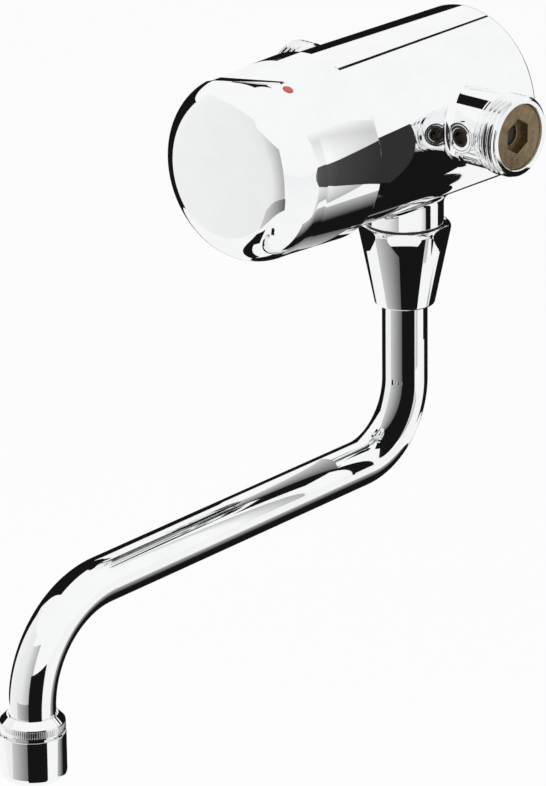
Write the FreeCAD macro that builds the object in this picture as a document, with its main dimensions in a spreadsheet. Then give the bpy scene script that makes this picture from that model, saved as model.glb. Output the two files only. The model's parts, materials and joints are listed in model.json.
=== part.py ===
import FreeCAD, Part
import math
import os
import Sketcher
from FreeCAD import Placement, Rotation, Vector

# Self-closing wall mixer, in millimetres.
# The origin is the middle of the flat back face, on the axis of the round body.
# +Y points into the wall, +Z is up, and the button faces -Y.
# Stations along a piece's own axis are distances from the wall, from the body axis
# or from the middle of the mixer, as the heading of each group says.

doc = FreeCAD.newDocument("self_closing_mixer")

SIZES = {
    # Cast body
    "body_radius": 29.5,
    "body_length": 86.0,
    "body_land_setback": 7.0,
    "body_front_step": 1.1,
    "wall_edge_round": 1.2,
    "cavity_radius": 20.0,
    "cavity_depth": 42.0,
    "cavity_to_ports": 12.7,
    "ring_nut_step": 2.9,
    "ring_nut_depth": 6.0,
    "blend_radius": 3.0,
    # Hot and cold inlets
    "inlet_rise": 2.0,
    "inlet_projection": 19.5,
    "thread_radius": 13.22,
    "thread_length": 8.8,
    "thread_chamfer": 0.7,
    "neck_radius": 12.4,
    "passage_radius": 2.8,
    "port_spread": 9.0,
    "port_radius": 3.5,
    "web_half": 4.5,
    "mixed_port_drop": 11.0,
    "nipple_spigot_radius": 10.4,
    "nipple_spigot_length": 1.4,
    "nipple_shoulder": 0.4,
    "nipple_throat_radius": 8.6,
    "nipple_bore_radius": 10.75,
    # Stop valves in the necks
    "valve_inset": 5.6,
    "valve_boss_radius": 5.3,
    "valve_boss_height": 0.6,
    "plug_radius": 3.9,
    "plug_tail": 6.0,
    "stop_seal_room": 1.8,
    "stem_radius": 2.9,
    "gland_radius": 4.4,
    "gland_length": 2.6,
    "stop_socket": 4.0,
    "stop_socket_depth": 3.0,
    # Non-return valves in the inlet mouths
    "check_recess": 1.0,
    "check_washer": 0.6,
    "key_socket": 10.0,
    "key_depth": 3.4,
    "seat_radius": 3.4,
    "seat_web": 1.2,
    "guide_hold": 0.4,
    "poppet_radius": 5.2,
    "poppet_thickness": 1.0,
    "poppet_stem_radius": 1.3,
    "poppet_stem_length": 2.7,
    "guide_thickness": 0.9,
    "guide_foot": 0.7,
    "guide_rim": 1.2,
    "guide_ports": 6,
    "guide_port_radius": 1.5,
    "guide_port_circle": 4.4,
    "check_spring_radius": 2.6,
    "check_spring_wire": 0.3,
    "check_spring_turns": 1.5,
    # Outlet and swivel joint of the spout
    "boss_radius": 12.8,
    "boss_projection": 7.0,
    "outlet_bore_radius": 6.5,
    "outlet_bore_top": 8.0,
    "outlet_spigot_radius": 10.4,
    "outlet_spigot_length": 8.0,
    "outlet_thread_radius": 12.2,
    "outlet_thread_length": 8.0,
    "swivel_wall": 1.9,
    "swivel_bore_depth": 7.0,
    "swivel_flange_radius": 11.0,
    "swivel_flange_thickness": 2.5,
    "friction_washer_thickness": 0.9,
    "flange_gap": 1.0,
    "swivel_end_gap": 0.5,
    "swivel_groove_lead": 2.0,
    "swivel_groove_width": 1.6,
    "swivel_groove_depth": 0.9,
    "nut_hole_gap": 0.3,
    "nut_flange_gap": 0.2,
    "nut_gap": 0.4,
    "nut_top_radius": 15.5,
    "nut_foot_wall": 2.3,
    "nut_height": 27.6,
    "nut_flat": 14.0,
    "nut_flat_height": 11.0,
    "nut_turn": 19.4,
    "nut_top_round": 1.4,
    "nut_foot_round": 0.8,
    # Spout tube
    "tube_radius": 7.5,
    "tube_wall": 1.0,
    "riser_drop": 77.3,
    "spout_reach": 176.3,
    "spout_fall": 5.5,
    "upper_bend_radius": 24.0,
    "lower_bend_radius": 33.0,
    "mouth_drop": 37.3,
    # Aerator
    "end_collar_step": 2.85,
    "end_collar_lap": 3.6,
    "end_cone_height": 2.2,
    "end_cone_lip": 0.6,
    "end_collar_height": 5.4,
    "end_thread_wall": 1.3,
    "end_thread_length": 5.6,
    "aerator_gap": 0.8,
    "aerator_step": 0.15,
    "aerator_height": 15.3,
    "aerator_round": 2.6,
    "aerator_lip_width": 1.2,
    "aerator_lip": 2.6,
    "aerator_washer_thickness": 1.5,
    "jet_plate_thickness": 2.0,
    "jet_holes": 8,
    "jet_hole_radius": 0.9,
    "jet_circle": 4.6,
    "straightener_hole_radius": 0.95,
    "straightener_inner_holes": 6,
    "straightener_inner_circle": 2.9,
    "straightener_outer_holes": 12,
    "straightener_outer_circle": 5.8,
    "straightener_inset": 0.8,
    # Push button
    "cap_lap": 1.8,
    "rim_step": 1.4,
    "cap_side_step": 0.6,
    "cap_taper_length": 24.8,
    "cap_length": 42.0,
    "cap_dome": 2.8,
    "cap_corner_radius": 12.0,
    "cap_skirt_gap": 0.35,
    "cap_land_depth": 7.3,
    "cap_step_depth": 15.2,
    "cap_core_wall": 4.5,
    "cap_wall": 4.4,
    "scoop_radius": 22.0,
    "scoop_depth": 3.4,
    "scoop_lead": 17.8,
    "scoop_turn": -8.5,
    "dot_radius": 1.7,
    "dot_depth": 1.2,
    "dot_lead": 17.7,
    "dot_angle": 26.0,
    # Button carrier and spindle
    "carrier_gap": 7.2,
    "carrier_web": 3.0,
    "carrier_room": 3.0,
    "carrier_rim": 1.8,
    "carrier_hub_radius": 9.0,
    "carrier_lug_inset": 2.2,
    "lug_size": 1.4,
    "lug_length": 7.8,
    "spindle_radius": 5.0,
    "spindle_hex": 7.0,
    "spindle_lead": 2.1,
    "carrier_screw_radius": 2.0,
    "carrier_screw_length": 8.0,
    "carrier_screw_head": 3.6,
    "carrier_screw_head_height": 2.4,
    "grub_radius": 2.0,
    "grub_lead": 6.3,
    "grub_depth": 1.4,
    "grub_inset": 0.8,
    "grub_socket": 2.0,
    "grub_socket_depth": 1.6,
    # Timing and mixing cartridge
    "housing_gap": 0.2,
    "housing_side": 3.8,
    "housing_wall": 4.0,
    "nose_radius": 8.0,
    "nose_length": 7.4,
    "seal_thickness": 1.0,
    "seal_width": 1.7,
    "base_thickness": 5.0,
    "fixed_disc_thickness": 3.5,
    "mixing_disc_thickness": 3.5,
    "disc_gap": 0.4,
    "disc_centre_radius": 4.6,
    "driver_thickness": 2.6,
    "driver_hub_radius": 7.5,
    "driver_hub_length": 4.0,
    "piston_inset": 9.0,
    "piston_thickness": 3.6,
    "piston_land": 1.0,
    "piston_groove": 2.1,
    "piston_gap": 0.3,
    "nose_groove_lead": 2.4,
    "nose_groove_width": 1.8,
    "nose_groove_depth": 1.5,
    "housing_groove_inset": 16.0,
    "housing_groove_width": 2.0,
    "housing_groove_depth": 1.6,
    "dog_radius": 1.5,
    "dog_spread": 8.0,
    "dog_length": 1.8,
    "recess_inner": 6.5,
    "recess_rim": 2.6,
    "recess_depth": 2.0,
    "spring_radius": 10.5,
    "spring_wire": 0.8,
    "spring_turns": 3.5,
    "stop_ring_radius": 12.6,
    "stop_ring_lead": 1.2,
    "stop_ring_length": 5.2,
    "stop_ear_inset": 3.3,
    "stop_ear_radius": 2.3,
    "stop_ear_angle": 75.0,
    "ring_nut_lip": 2.8,
    # Clearances
    "fit_gap": 0.05,
    "slide_gap": 0.1,
    "cutter_margin": 1.0,
}

# Distances that follow from the sizes above
PLACES = {
    "cavity_floor": "sizes.body_length - sizes.cavity_depth",
    "port_setback": "places.cavity_floor - sizes.cavity_to_ports",
    "body_land": "sizes.body_length - sizes.body_land_setback",
    "body_front_radius": "sizes.body_radius - sizes.body_front_step",
    "ring_nut_radius": "sizes.cavity_radius + sizes.ring_nut_step",
    "ring_nut_hole_radius": "sizes.cavity_radius - sizes.ring_nut_lip",
    "housing_radius": "sizes.cavity_radius - sizes.housing_gap",
    "housing_bore_radius": "places.housing_radius - sizes.housing_side",
    "disc_radius": "places.housing_bore_radius - sizes.disc_gap",
    "recess_outer": "places.disc_radius - sizes.recess_rim",
    "stop_ear_circle": "places.ring_nut_hole_radius - sizes.stop_ear_inset",
    "carrier_lug_radius": "places.ring_nut_hole_radius - sizes.carrier_lug_inset",
    "swivel_bore_radius": "sizes.tube_radius + sizes.swivel_wall",
    "end_thread_radius": "sizes.tube_radius + sizes.end_thread_wall",
    "end_collar_radius": "sizes.tube_radius + sizes.end_collar_step",
    "aerator_radius": "places.end_collar_radius + sizes.aerator_step",
    "aerator_mouth_radius": "places.end_thread_radius - sizes.aerator_lip_width",
    "nut_foot_radius": "sizes.tube_radius + sizes.nut_foot_wall",
    "valve_face": "sizes.neck_radius + sizes.valve_boss_height",
    "check_chamber_radius": "sizes.nipple_throat_radius - sizes.guide_hold",
    "inlet_reach": "sizes.body_radius + sizes.inlet_projection",
    "neck_end": "places.inlet_reach - sizes.thread_length",
    "valve_offset": "places.neck_end - sizes.valve_inset",
    "nipple_back": "places.neck_end - sizes.nipple_spigot_length",
    "nipple_step": "places.neck_end + sizes.nipple_shoulder",
    "check_back": "places.nipple_step + sizes.check_washer",
    "check_front": "places.inlet_reach - sizes.check_recess",
    "key_floor": "places.check_front - sizes.key_depth",
    "seat_station": "places.key_floor - sizes.seat_web",
    "poppet_front": "places.seat_station - sizes.fit_gap",
    "poppet_back": "places.poppet_front - sizes.poppet_thickness",
    "stem_back": "places.poppet_back - sizes.poppet_stem_length",
    "guide_front": "places.nipple_step - sizes.slide_gap",
    "guide_back": "places.guide_front - sizes.guide_thickness",
    "guide_foot": "places.guide_back - sizes.guide_foot",
    "housing_face": "sizes.body_length - sizes.ring_nut_depth",
    "piston_back": "places.housing_face - sizes.piston_inset",
    "housing_groove_back": "places.housing_face - sizes.housing_groove_inset",
    "nose_groove_back": "places.housing_face + sizes.nose_groove_lead",
    "stop_ring_back": "places.housing_face + sizes.stop_ring_lead",
    "nose_end": "places.housing_face + sizes.nose_length",
    "housing_back": "places.cavity_floor + sizes.seal_thickness + sizes.base_thickness",
    "fixed_front": "places.housing_back + sizes.fixed_disc_thickness",
    "mixing_front": "places.fixed_front + sizes.mixing_disc_thickness",
    "driver_front": "places.mixing_front + sizes.driver_thickness",
    "hub_front": "places.driver_front + sizes.driver_hub_length",
    "spindle_back": "places.mixing_front + sizes.spindle_lead",
    "carrier_back": "sizes.body_length + sizes.carrier_gap",
    "grub_station": "places.carrier_back + sizes.grub_lead",
    "boss_drop": "sizes.body_radius + sizes.boss_projection",
    "nipple_foot": "places.boss_drop + sizes.outlet_thread_length",
    "flange_top": "places.nipple_foot + sizes.flange_gap",
    "flange_foot": "places.flange_top + sizes.swivel_flange_thickness",
    "ledge": "places.flange_foot + sizes.friction_washer_thickness + 2 * sizes.fit_gap",
    "nut_top": "places.boss_drop + sizes.nut_gap",
    "nut_foot": "places.nut_top + sizes.nut_height",
    "swivel_top": "places.nipple_foot - sizes.swivel_bore_depth + sizes.swivel_end_gap",
    "swivel_radius": "places.swivel_bore_radius - sizes.slide_gap",
    "tube_drop": "places.boss_drop + sizes.riser_drop",
    "tube_end_drop": "places.tube_drop + sizes.spout_fall + sizes.mouth_drop",
    "end_collar_top": "places.tube_end_drop - sizes.end_collar_lap",
    "end_collar_foot": "places.end_collar_top + sizes.end_collar_height",
    "end_thread_foot": "places.end_collar_foot + sizes.end_thread_length",
    "aerator_top": "places.end_collar_foot + sizes.aerator_gap",
    "aerator_foot": "places.aerator_top + sizes.aerator_height",
    "lip_top": "places.aerator_foot - sizes.aerator_lip",
    "washer_foot": "places.end_thread_foot + sizes.aerator_washer_thickness",
    "jet_foot": "places.washer_foot + sizes.jet_plate_thickness",
    "rim_station": "places.body_land - sizes.cap_lap",
    "rim_radius": "sizes.body_radius + sizes.rim_step",
    "cap_side_radius": "sizes.body_radius + sizes.cap_side_step",
    "cap_side_station": "places.rim_station + sizes.cap_taper_length",
    "cap_nose_station": "places.rim_station + sizes.cap_length",
    "cap_edge_station": "places.cap_nose_station - sizes.cap_dome",
    "cap_core_radius": "places.cap_side_radius - sizes.cap_core_wall",
    "scoop_station": "places.cap_nose_station - sizes.scoop_lead",
    "scoop_height": "places.cap_side_radius - sizes.scoop_depth + sizes.scoop_radius",
    "dot_station": "places.cap_nose_station - sizes.dot_lead",
    "cap_inner_radius": "sizes.body_radius + sizes.cap_skirt_gap",
    "cap_step_radius": "places.body_front_radius + sizes.cap_skirt_gap",
    "carrier_radius": "places.cap_core_radius - sizes.slide_gap",
    "carrier_inner": "places.carrier_radius - sizes.carrier_rim",
    "cap_inner_front": "places.cap_nose_station - sizes.cap_wall",
    "cap_inner_round": "sizes.cap_corner_radius - sizes.cap_wall",
    "carrier_front": "places.cap_inner_front - places.cap_inner_round - sizes.carrier_room",
    "carrier_shelf": "places.carrier_back + sizes.carrier_web",
    "spindle_end": "places.carrier_front - sizes.carrier_web",
    "valve_front": "sizes.plug_tail + places.valve_face",
    "gland_back": "places.valve_front - sizes.gland_length",
    "plug_front": "places.gland_back - sizes.stop_seal_room",
    "plug_near": "places.valve_offset - sizes.plug_radius - sizes.cutter_margin",
    "plug_far": "places.valve_offset + sizes.plug_radius + sizes.cutter_margin",
    "outlet_spigot_top": "places.boss_drop - sizes.outlet_spigot_length",
    "swivel_bore_top": "places.nipple_foot - sizes.swivel_bore_depth",
    "nut_hole_radius": "sizes.tube_radius + sizes.nut_hole_gap",
    "tube_fit": "sizes.tube_radius + sizes.fit_gap",
    "ring_top": "places.swivel_top + sizes.swivel_groove_lead",
    "ring_foot": "places.ring_top + sizes.swivel_groove_width",
    "groove_radius": "places.swivel_radius - sizes.swivel_groove_depth",
    "tube_top": "places.swivel_top + sizes.fit_gap",
    "piston_front": "places.piston_back + sizes.piston_thickness",
    "piston_radius": "places.housing_bore_radius - sizes.piston_gap",
    "housing_inner": "places.housing_face - sizes.housing_wall",
    "spindle_way": "sizes.spindle_radius + sizes.slide_gap",
    "straightener_foot": "places.aerator_foot - sizes.straightener_inset",
    "housing_groove_front": "places.housing_groove_back + sizes.housing_groove_width",
    "nose_groove_front": "places.nose_groove_back + sizes.nose_groove_width",
    "piston_groove_back": "places.piston_back + sizes.piston_land",
    "piston_groove_front": "places.piston_front - sizes.piston_land",
    "stop_ring_front": "places.stop_ring_back + sizes.stop_ring_length",
    "nut_step_radius": "sizes.swivel_flange_radius + sizes.nut_flange_gap",
    "nut_step": "places.nipple_foot + sizes.nut_flange_gap",
    "grub_back": "places.carrier_radius - sizes.grub_depth",
    "grub_front": "places.cap_side_radius - sizes.grub_inset",
    "screw_back": "places.carrier_front - sizes.carrier_screw_length",
    "screw_top": "places.carrier_front + sizes.carrier_screw_head_height",
    "ear_x": "places.stop_ear_circle * sin(sizes.stop_ear_angle)",
    "ear_z": "-places.stop_ear_circle * cos(sizes.stop_ear_angle)",
}

# The sheet of driving dimensions: name, number. The second sheet holds what follows from them.
sizes = doc.addObject("Spreadsheet::Sheet", "sizes")
for row, (word, number) in enumerate(SIZES.items(), start=1):
    sizes.set(f"A{row}", word)
    sizes.set(f"B{row}", str(number))
    sizes.setAlias(f"B{row}", word)
doc.recompute()
places = doc.addObject("Spreadsheet::Sheet", "places")
for row, (word, formula) in enumerate(PLACES.items(), start=1):
    places.set(f"A{row}", word)
    places.set(f"B{row}", "=" + formula.replace("places.", ""))
    places.setAlias(f"B{row}", word)
doc.recompute()

# Each group of pieces is drawn along its own axis and then turned into place.
SETBACK = "-places.port_setback"
RISE = "sizes.inlet_rise"
TAIL = "-(places.port_setback - sizes.plug_tail)"
OUTLET = "-(places.port_setback + sizes.spout_reach)"
FRAMES = {
    "front": (Rotation(Vector(1, 0, 0), 90), ("0", "0", "0")),
    "down": (Rotation(Vector(1, 0, 0), 180), ("0", SETBACK, "0")),
    "right": (Rotation(Vector(0, 1, 0), 90), ("0", SETBACK, RISE)),
    "left": (Rotation(Vector(0, 1, 0), -90), ("0", SETBACK, RISE)),
    "right_valve": (Rotation(Vector(1, 0, 0), 90), ("places.valve_offset", TAIL, RISE)),
    "left_valve": (Rotation(Vector(1, 0, 0), 90), ("-places.valve_offset", TAIL, RISE)),
    "cold_port": (Rotation(Vector(1, 0, 0), 90), ("sizes.port_spread", "0", RISE)),
    "hot_port": (Rotation(Vector(1, 0, 0), 90), ("-sizes.port_spread", "0", RISE)),
    "mixed_port": (Rotation(Vector(1, 0, 0), 90), ("0", "0", "-sizes.mixed_port_drop")),
    "outlet": (Rotation(Vector(1, 0, 0), 180), ("0", OUTLET, "0")),
    "dot": (Rotation(Vector(0, 1, 0), SIZES["dot_angle"]), ("0", "-places.dot_station", "0")),
    "grub": (Rotation(Vector(1, 0, 0), 180), ("0", "-places.grub_station", "0")),
    "lug": (Rotation(Vector(1, 0, 0), 90), ("0", "0", "-places.carrier_lug_radius")),
    "left_ear": (Rotation(Vector(1, 0, 0), 90), ("-places.ear_x", "0", "places.ear_z")),
    "right_ear": (Rotation(Vector(1, 0, 0), 90), ("places.ear_x", "0", "places.ear_z")),
    "left_dog": (Rotation(Vector(1, 0, 0), 90), ("-sizes.dog_spread", "0", "sizes.dog_spread")),
    "right_dog": (Rotation(Vector(1, 0, 0), 90), ("sizes.dog_spread", "0", "sizes.dog_spread")),
}
SIDES = ("left", "right")
PORTS = ("hot_port", "cold_port", "mixed_port")
# A coil is drawn in quarter turns, so that its wire meshes true.
COIL_SEGMENT = 0.25
nodes = {}


def value(formula):
    """Number of a formula of the sheets."""
    result = sizes.evalExpression(formula)
    return float(getattr(result, "Value", result))


def put(piece, frame):
    """Turns a piece into one of the frames, with its place tied to the sheet."""
    rotation, base = FRAMES[frame]
    piece.Placement = Placement(Vector(), rotation)
    for letter, formula in zip("xyz", base):
        if formula != "0":
            piece.setExpression(f"Placement.Base.{letter}", formula)


def keep(label, piece):
    """Names a finished piece as one of the nodes."""
    piece.Label = label
    nodes[label] = piece
    return piece


def plane(body, role):
    """One of a body's own origin planes."""
    return next(item for item in body.Origin.OriginFeatures if item.Role == role)


def new_sketch(body, name, role):
    """Sketch on one of the body's own origin planes."""
    sketch = body.newObject("Sketcher::SketchObject", name)
    sketch.AttachmentSupport = [(plane(body, role), "")]
    sketch.MapMode = "FlatFace"
    return sketch


def hold_point(sketch, edge, end, formulas):
    """Ties one end of an edge to its radius and station."""
    for axis, letter, formula in ((-2, "X", formulas[0]), (-1, "Y", formulas[1])):
        if formula == "0":
            sketch.addConstraint(Sketcher.Constraint("PointOnObject", edge, end, axis))
        else:
            number = sketch.addConstraint(
                Sketcher.Constraint(f"Distance{letter}", -1, 1, edge, end, value(formula)))
            sketch.setExpression(f"Constraints[{number}]", formula)


def domed_edge(outer, nose):
    """Arc from the outer point to the nose on the axis, with its centre on the axis."""
    rise = nose.y - outer.y
    radius = (outer.x ** 2 + rise ** 2) / (2 * rise)
    circle = Part.Circle(Vector(0, nose.y - radius, 0), Vector(0, 0, 1), radius)
    start = math.atan2(outer.y - (nose.y - radius), outer.x)
    return Part.ArcOfCircle(circle, start, math.pi / 2)


def turned(name, frame, points, dome=None):
    """Body turned from a closed outline of (radius, station) formulas; one edge may be domed."""
    body = doc.addObject("PartDesign::Body", name)
    sketch = new_sketch(body, name + "_outline", "XZ_Plane")
    spots = [Vector(value(r), value(s), 0) for r, s in points]
    count = len(spots)
    for i in range(count):
        ends = spots[i], spots[(i + 1) % count]
        sketch.addGeometry(domed_edge(*ends) if i == dome else Part.LineSegment(*ends), False)
    for i in range(count):
        sketch.addConstraint(Sketcher.Constraint("Coincident", i, 2, (i + 1) % count, 1))
    if dome is not None:
        sketch.addConstraint(Sketcher.Constraint("PointOnObject", dome, 3, -2))
    for i, formulas in enumerate(points):
        hold_point(sketch, i, 1, formulas)
    turn = body.newObject("PartDesign::Revolution", name + "_turn")
    turn.Profile = sketch
    turn.ReferenceAxis = (sketch, ["V_Axis"])
    turn.Angle = 360.0
    put(body, frame)
    doc.recompute()
    return body


def ring(name, frame, inner, outer, start, end):
    """Flat ring or sleeve."""
    return turned(name, frame, [(inner, start), (outer, start), (outer, end), (inner, end)])


def round_edges(body, rounds):
    """Rounds circular edges given by radius and station."""
    for number, (radius, station, rounding) in enumerate(rounds):
        tip = body.Tip
        names = []
        for index, edge in enumerate(tip.Shape.Edges, start=1):
            if edge.Degenerated or not isinstance(edge.Curve, Part.Circle):
                continue
            curve = edge.Curve
            if abs(curve.Radius - value(radius)) < 1e-3 and abs(curve.Center.z - value(station)) < 1e-3:
                names.append(f"Edge{index}")
        fillet = body.newObject("PartDesign::Fillet", f"{body.Name}_round_{number}")
        fillet.Base = (tip, names)
        fillet.setExpression("Radius", rounding)
        doc.recompute()


def bar(name, frame, radius, start, end):
    """Round bar along a frame's axis, for cutting or adding."""
    body = turned(name, frame, [("0", start), (radius, start), (radius, end), ("0", end)])
    return body


def joined(name, kind, base, tools):
    """Boolean of a base with one or more tools."""
    if kind == "Cut":
        tool = tools[0]
        if len(tools) > 1:
            tool = doc.addObject("Part::MultiFuse", name + "_tools")
            tool.Shapes = tools
        result = doc.addObject("Part::Cut", name)
        result.Base = base
        result.Tool = tool
    else:
        result = doc.addObject("Part::MultiFuse", name)
        result.Shapes = [base] + tools
        result.Refine = True
    doc.recompute()
    return result


def prism(name, frame, width, start, end, turn="0"):
    """Hexagonal bar of a width across flats along a frame's axis, turned about it."""
    shape = doc.addObject("Part::Prism", name)
    shape.Polygon = 6
    shape.setExpression("Circumradius", f"({width}) / 2 / cos(30)")
    shape.setExpression("Height", f"({end}) - ({start})")
    rotation, base = FRAMES[frame]
    shape.Placement = Placement(Vector(), rotation * Rotation(Vector(0, 0, 1), value(turn)))
    along = rotation.multVec(Vector(0, 0, 1))
    for letter, formula, part in zip("xyz", base, along):
        step = f"{round(part)} * ({start})"
        shape.setExpression(f"Placement.Base.{letter}", f"{formula} + {step}" if round(part) else formula)
    doc.recompute()
    return shape


def ring_of_holes(name, frame, count, radius, circle, start, end):
    """Round holes spaced evenly on a circle, as a list of cutting bars."""
    holes = []
    for number in range(count):
        rotation, base = FRAMES[frame]
        turn = math.radians(360 / count * number)
        reach = rotation.multVec(Vector(math.cos(turn), math.sin(turn), 0))
        spot = tuple(f"({formula}) + ({circle}) * {part:.6f}" for formula, part in zip(base, reach))
        FRAMES[f"{name}_{number}"] = (rotation, spot)
        holes.append(bar(f"{name}_{number}", f"{name}_{number}", radius, start, end))
    return holes


def coil(name, frame, radius, wire, turns, start, end):
    """Coil spring as one helical wire between two stations, with a little room at each end."""
    room = f"({wire} + sizes.slide_gap)"
    height = f"({end} - {start} - 2 * {room})"
    helix = doc.addObject("Part::Helix", name + "_line")
    helix.setExpression("Radius", radius)
    helix.setExpression("Height", height)
    helix.setExpression("Pitch", f"{height} / {turns}")
    helix.SegmentLength = COIL_SEGMENT
    section = doc.addObject("Part::Circle", name + "_wire")
    section.setExpression("Radius", wire)
    section.Placement = Placement(Vector(), Rotation(Vector(1, 0, 0), 90))
    section.setExpression("Placement.Base.x", radius)
    doc.recompute()
    sweep = doc.addObject("Part::Sweep", name)
    sweep.Sections = [section]
    sweep.Spine = (helix, [f"Edge{i}" for i in range(1, len(helix.Shape.Edges) + 1)])
    sweep.Solid = True
    sweep.Frenet = True
    rotation, base = FRAMES[frame]
    sweep.Placement = Placement(Vector(), rotation)
    along = rotation.multVec(Vector(0, 0, 1))
    for letter, formula, part in zip("xyz", base, along):
        step = f"{round(part)} * ({start} + {room})"
        sweep.setExpression(f"Placement.Base.{letter}", f"{formula} + {step}" if round(part) else formula)
    doc.recompute()
    return sweep


def on_cylinder(edge, across, radius, centre, limits):
    """True for a curved edge that lies on a cylinder, between two limits along its axis."""
    if isinstance(edge.Curve, Part.Line):
        return False
    along = ({0, 1, 2} - set(across)).pop()
    span = edge.LastParameter - edge.FirstParameter
    for share in (0.1, 0.35, 0.6, 0.85):
        point = edge.valueAt(edge.FirstParameter + share * span)
        reach = math.hypot(point[across[0]] - centre[0], point[across[1]] - centre[1])
        if abs(reach - radius) > 1e-2 or not limits[0] < point[along] < limits[1]:
            return False
    return True


def blended(name, base, rounding, pick):
    """Rounds the edges of a casting that a test picks out."""
    fillet = doc.addObject("Part::Fillet", name)
    fillet.Base = base
    size = value(rounding)
    fillet.Edges = [(i, size, size) for i, edge in enumerate(base.Shape.Edges, start=1) if pick(edge)]
    doc.recompute()
    return fillet


# Cast body: stations run from the wall. The necks of the inlets grow out of its sides,
# the outlet boss out of its underside and the bosses of the stop valves out of the necks.
core = turned("body_core", "front", [
    ("0", "0"),
    ("sizes.body_radius", "0"),
    ("sizes.body_radius", "places.body_land"),
    ("places.body_front_radius", "places.body_land"),
    ("places.body_front_radius", "sizes.body_length"),
    ("0", "sizes.body_length"),
])
round_edges(core, [("sizes.body_radius", "0", "sizes.wall_edge_round")])
necks = [bar(f"neck_{side}", side, "sizes.neck_radius", "sizes.web_half", "places.neck_end")
         for side in SIDES]
armed = joined("core_with_necks", "Fuse", core, necks)
setback = value("places.port_setback")
rounded_necks = blended("neck_blends", armed, "sizes.blend_radius", lambda edge: on_cylinder(
    edge, (0, 2), value("sizes.body_radius"), (0, 0), (-value("places.body_land") + 0.1, -2)))
outlet_boss = bar("outlet_boss", "down", "sizes.boss_radius", "sizes.outlet_bore_top", "places.boss_drop")
bossed = joined("core_with_boss", "Fuse", rounded_necks, [outlet_boss])
rounded_boss = blended("boss_blend", bossed, "sizes.blend_radius", lambda edge: on_cylinder(
    edge, (0, 1), value("sizes.boss_radius"), (0, -setback), (-value("places.boss_drop") + 0.1, 0)))
valve_bosses = [bar(f"valve_boss_{side}", side + "_valve", "sizes.valve_boss_radius", "sizes.plug_tail",
                    "sizes.plug_tail + places.valve_face") for side in SIDES]
casting = joined("casting", "Fuse", rounded_boss, valve_bosses)
bores = [
    bar("cavity", "front", "sizes.cavity_radius", "places.cavity_floor", "sizes.body_length"),
    bar("ring_nut_seat", "front", "places.ring_nut_radius + sizes.fit_gap",
        "sizes.body_length - sizes.ring_nut_depth", "sizes.body_length"),
    bar("outlet_bore", "down", "sizes.outlet_bore_radius", "sizes.outlet_bore_top", "places.boss_drop"),
    bar("outlet_counterbore", "down", "sizes.outlet_spigot_radius + sizes.fit_gap",
        "places.boss_drop - sizes.outlet_spigot_length", "places.boss_drop"),
]
for side in SIDES:
    valve = side + "_valve"
    bores += [
        bar(f"passage_{side}", side, "sizes.passage_radius", "sizes.web_half", "places.neck_end"),
        bar(f"nipple_seat_{side}", side, "sizes.nipple_spigot_radius + sizes.fit_gap",
            "places.nipple_back", "places.neck_end"),
        bar(f"plug_chamber_{side}", valve, "sizes.plug_radius + sizes.fit_gap", "0",
            "places.gland_back"),
        bar(f"gland_seat_{side}", valve, "sizes.gland_radius + sizes.fit_gap", "places.gland_back",
            "places.valve_front"),
    ]
for port in PORTS:
    bores.append(bar(port, port, "sizes.port_radius", "places.port_setback", "places.cavity_floor"))
keep("mixer_body", joined("mixer_body", "Cut", casting, bores))

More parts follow.
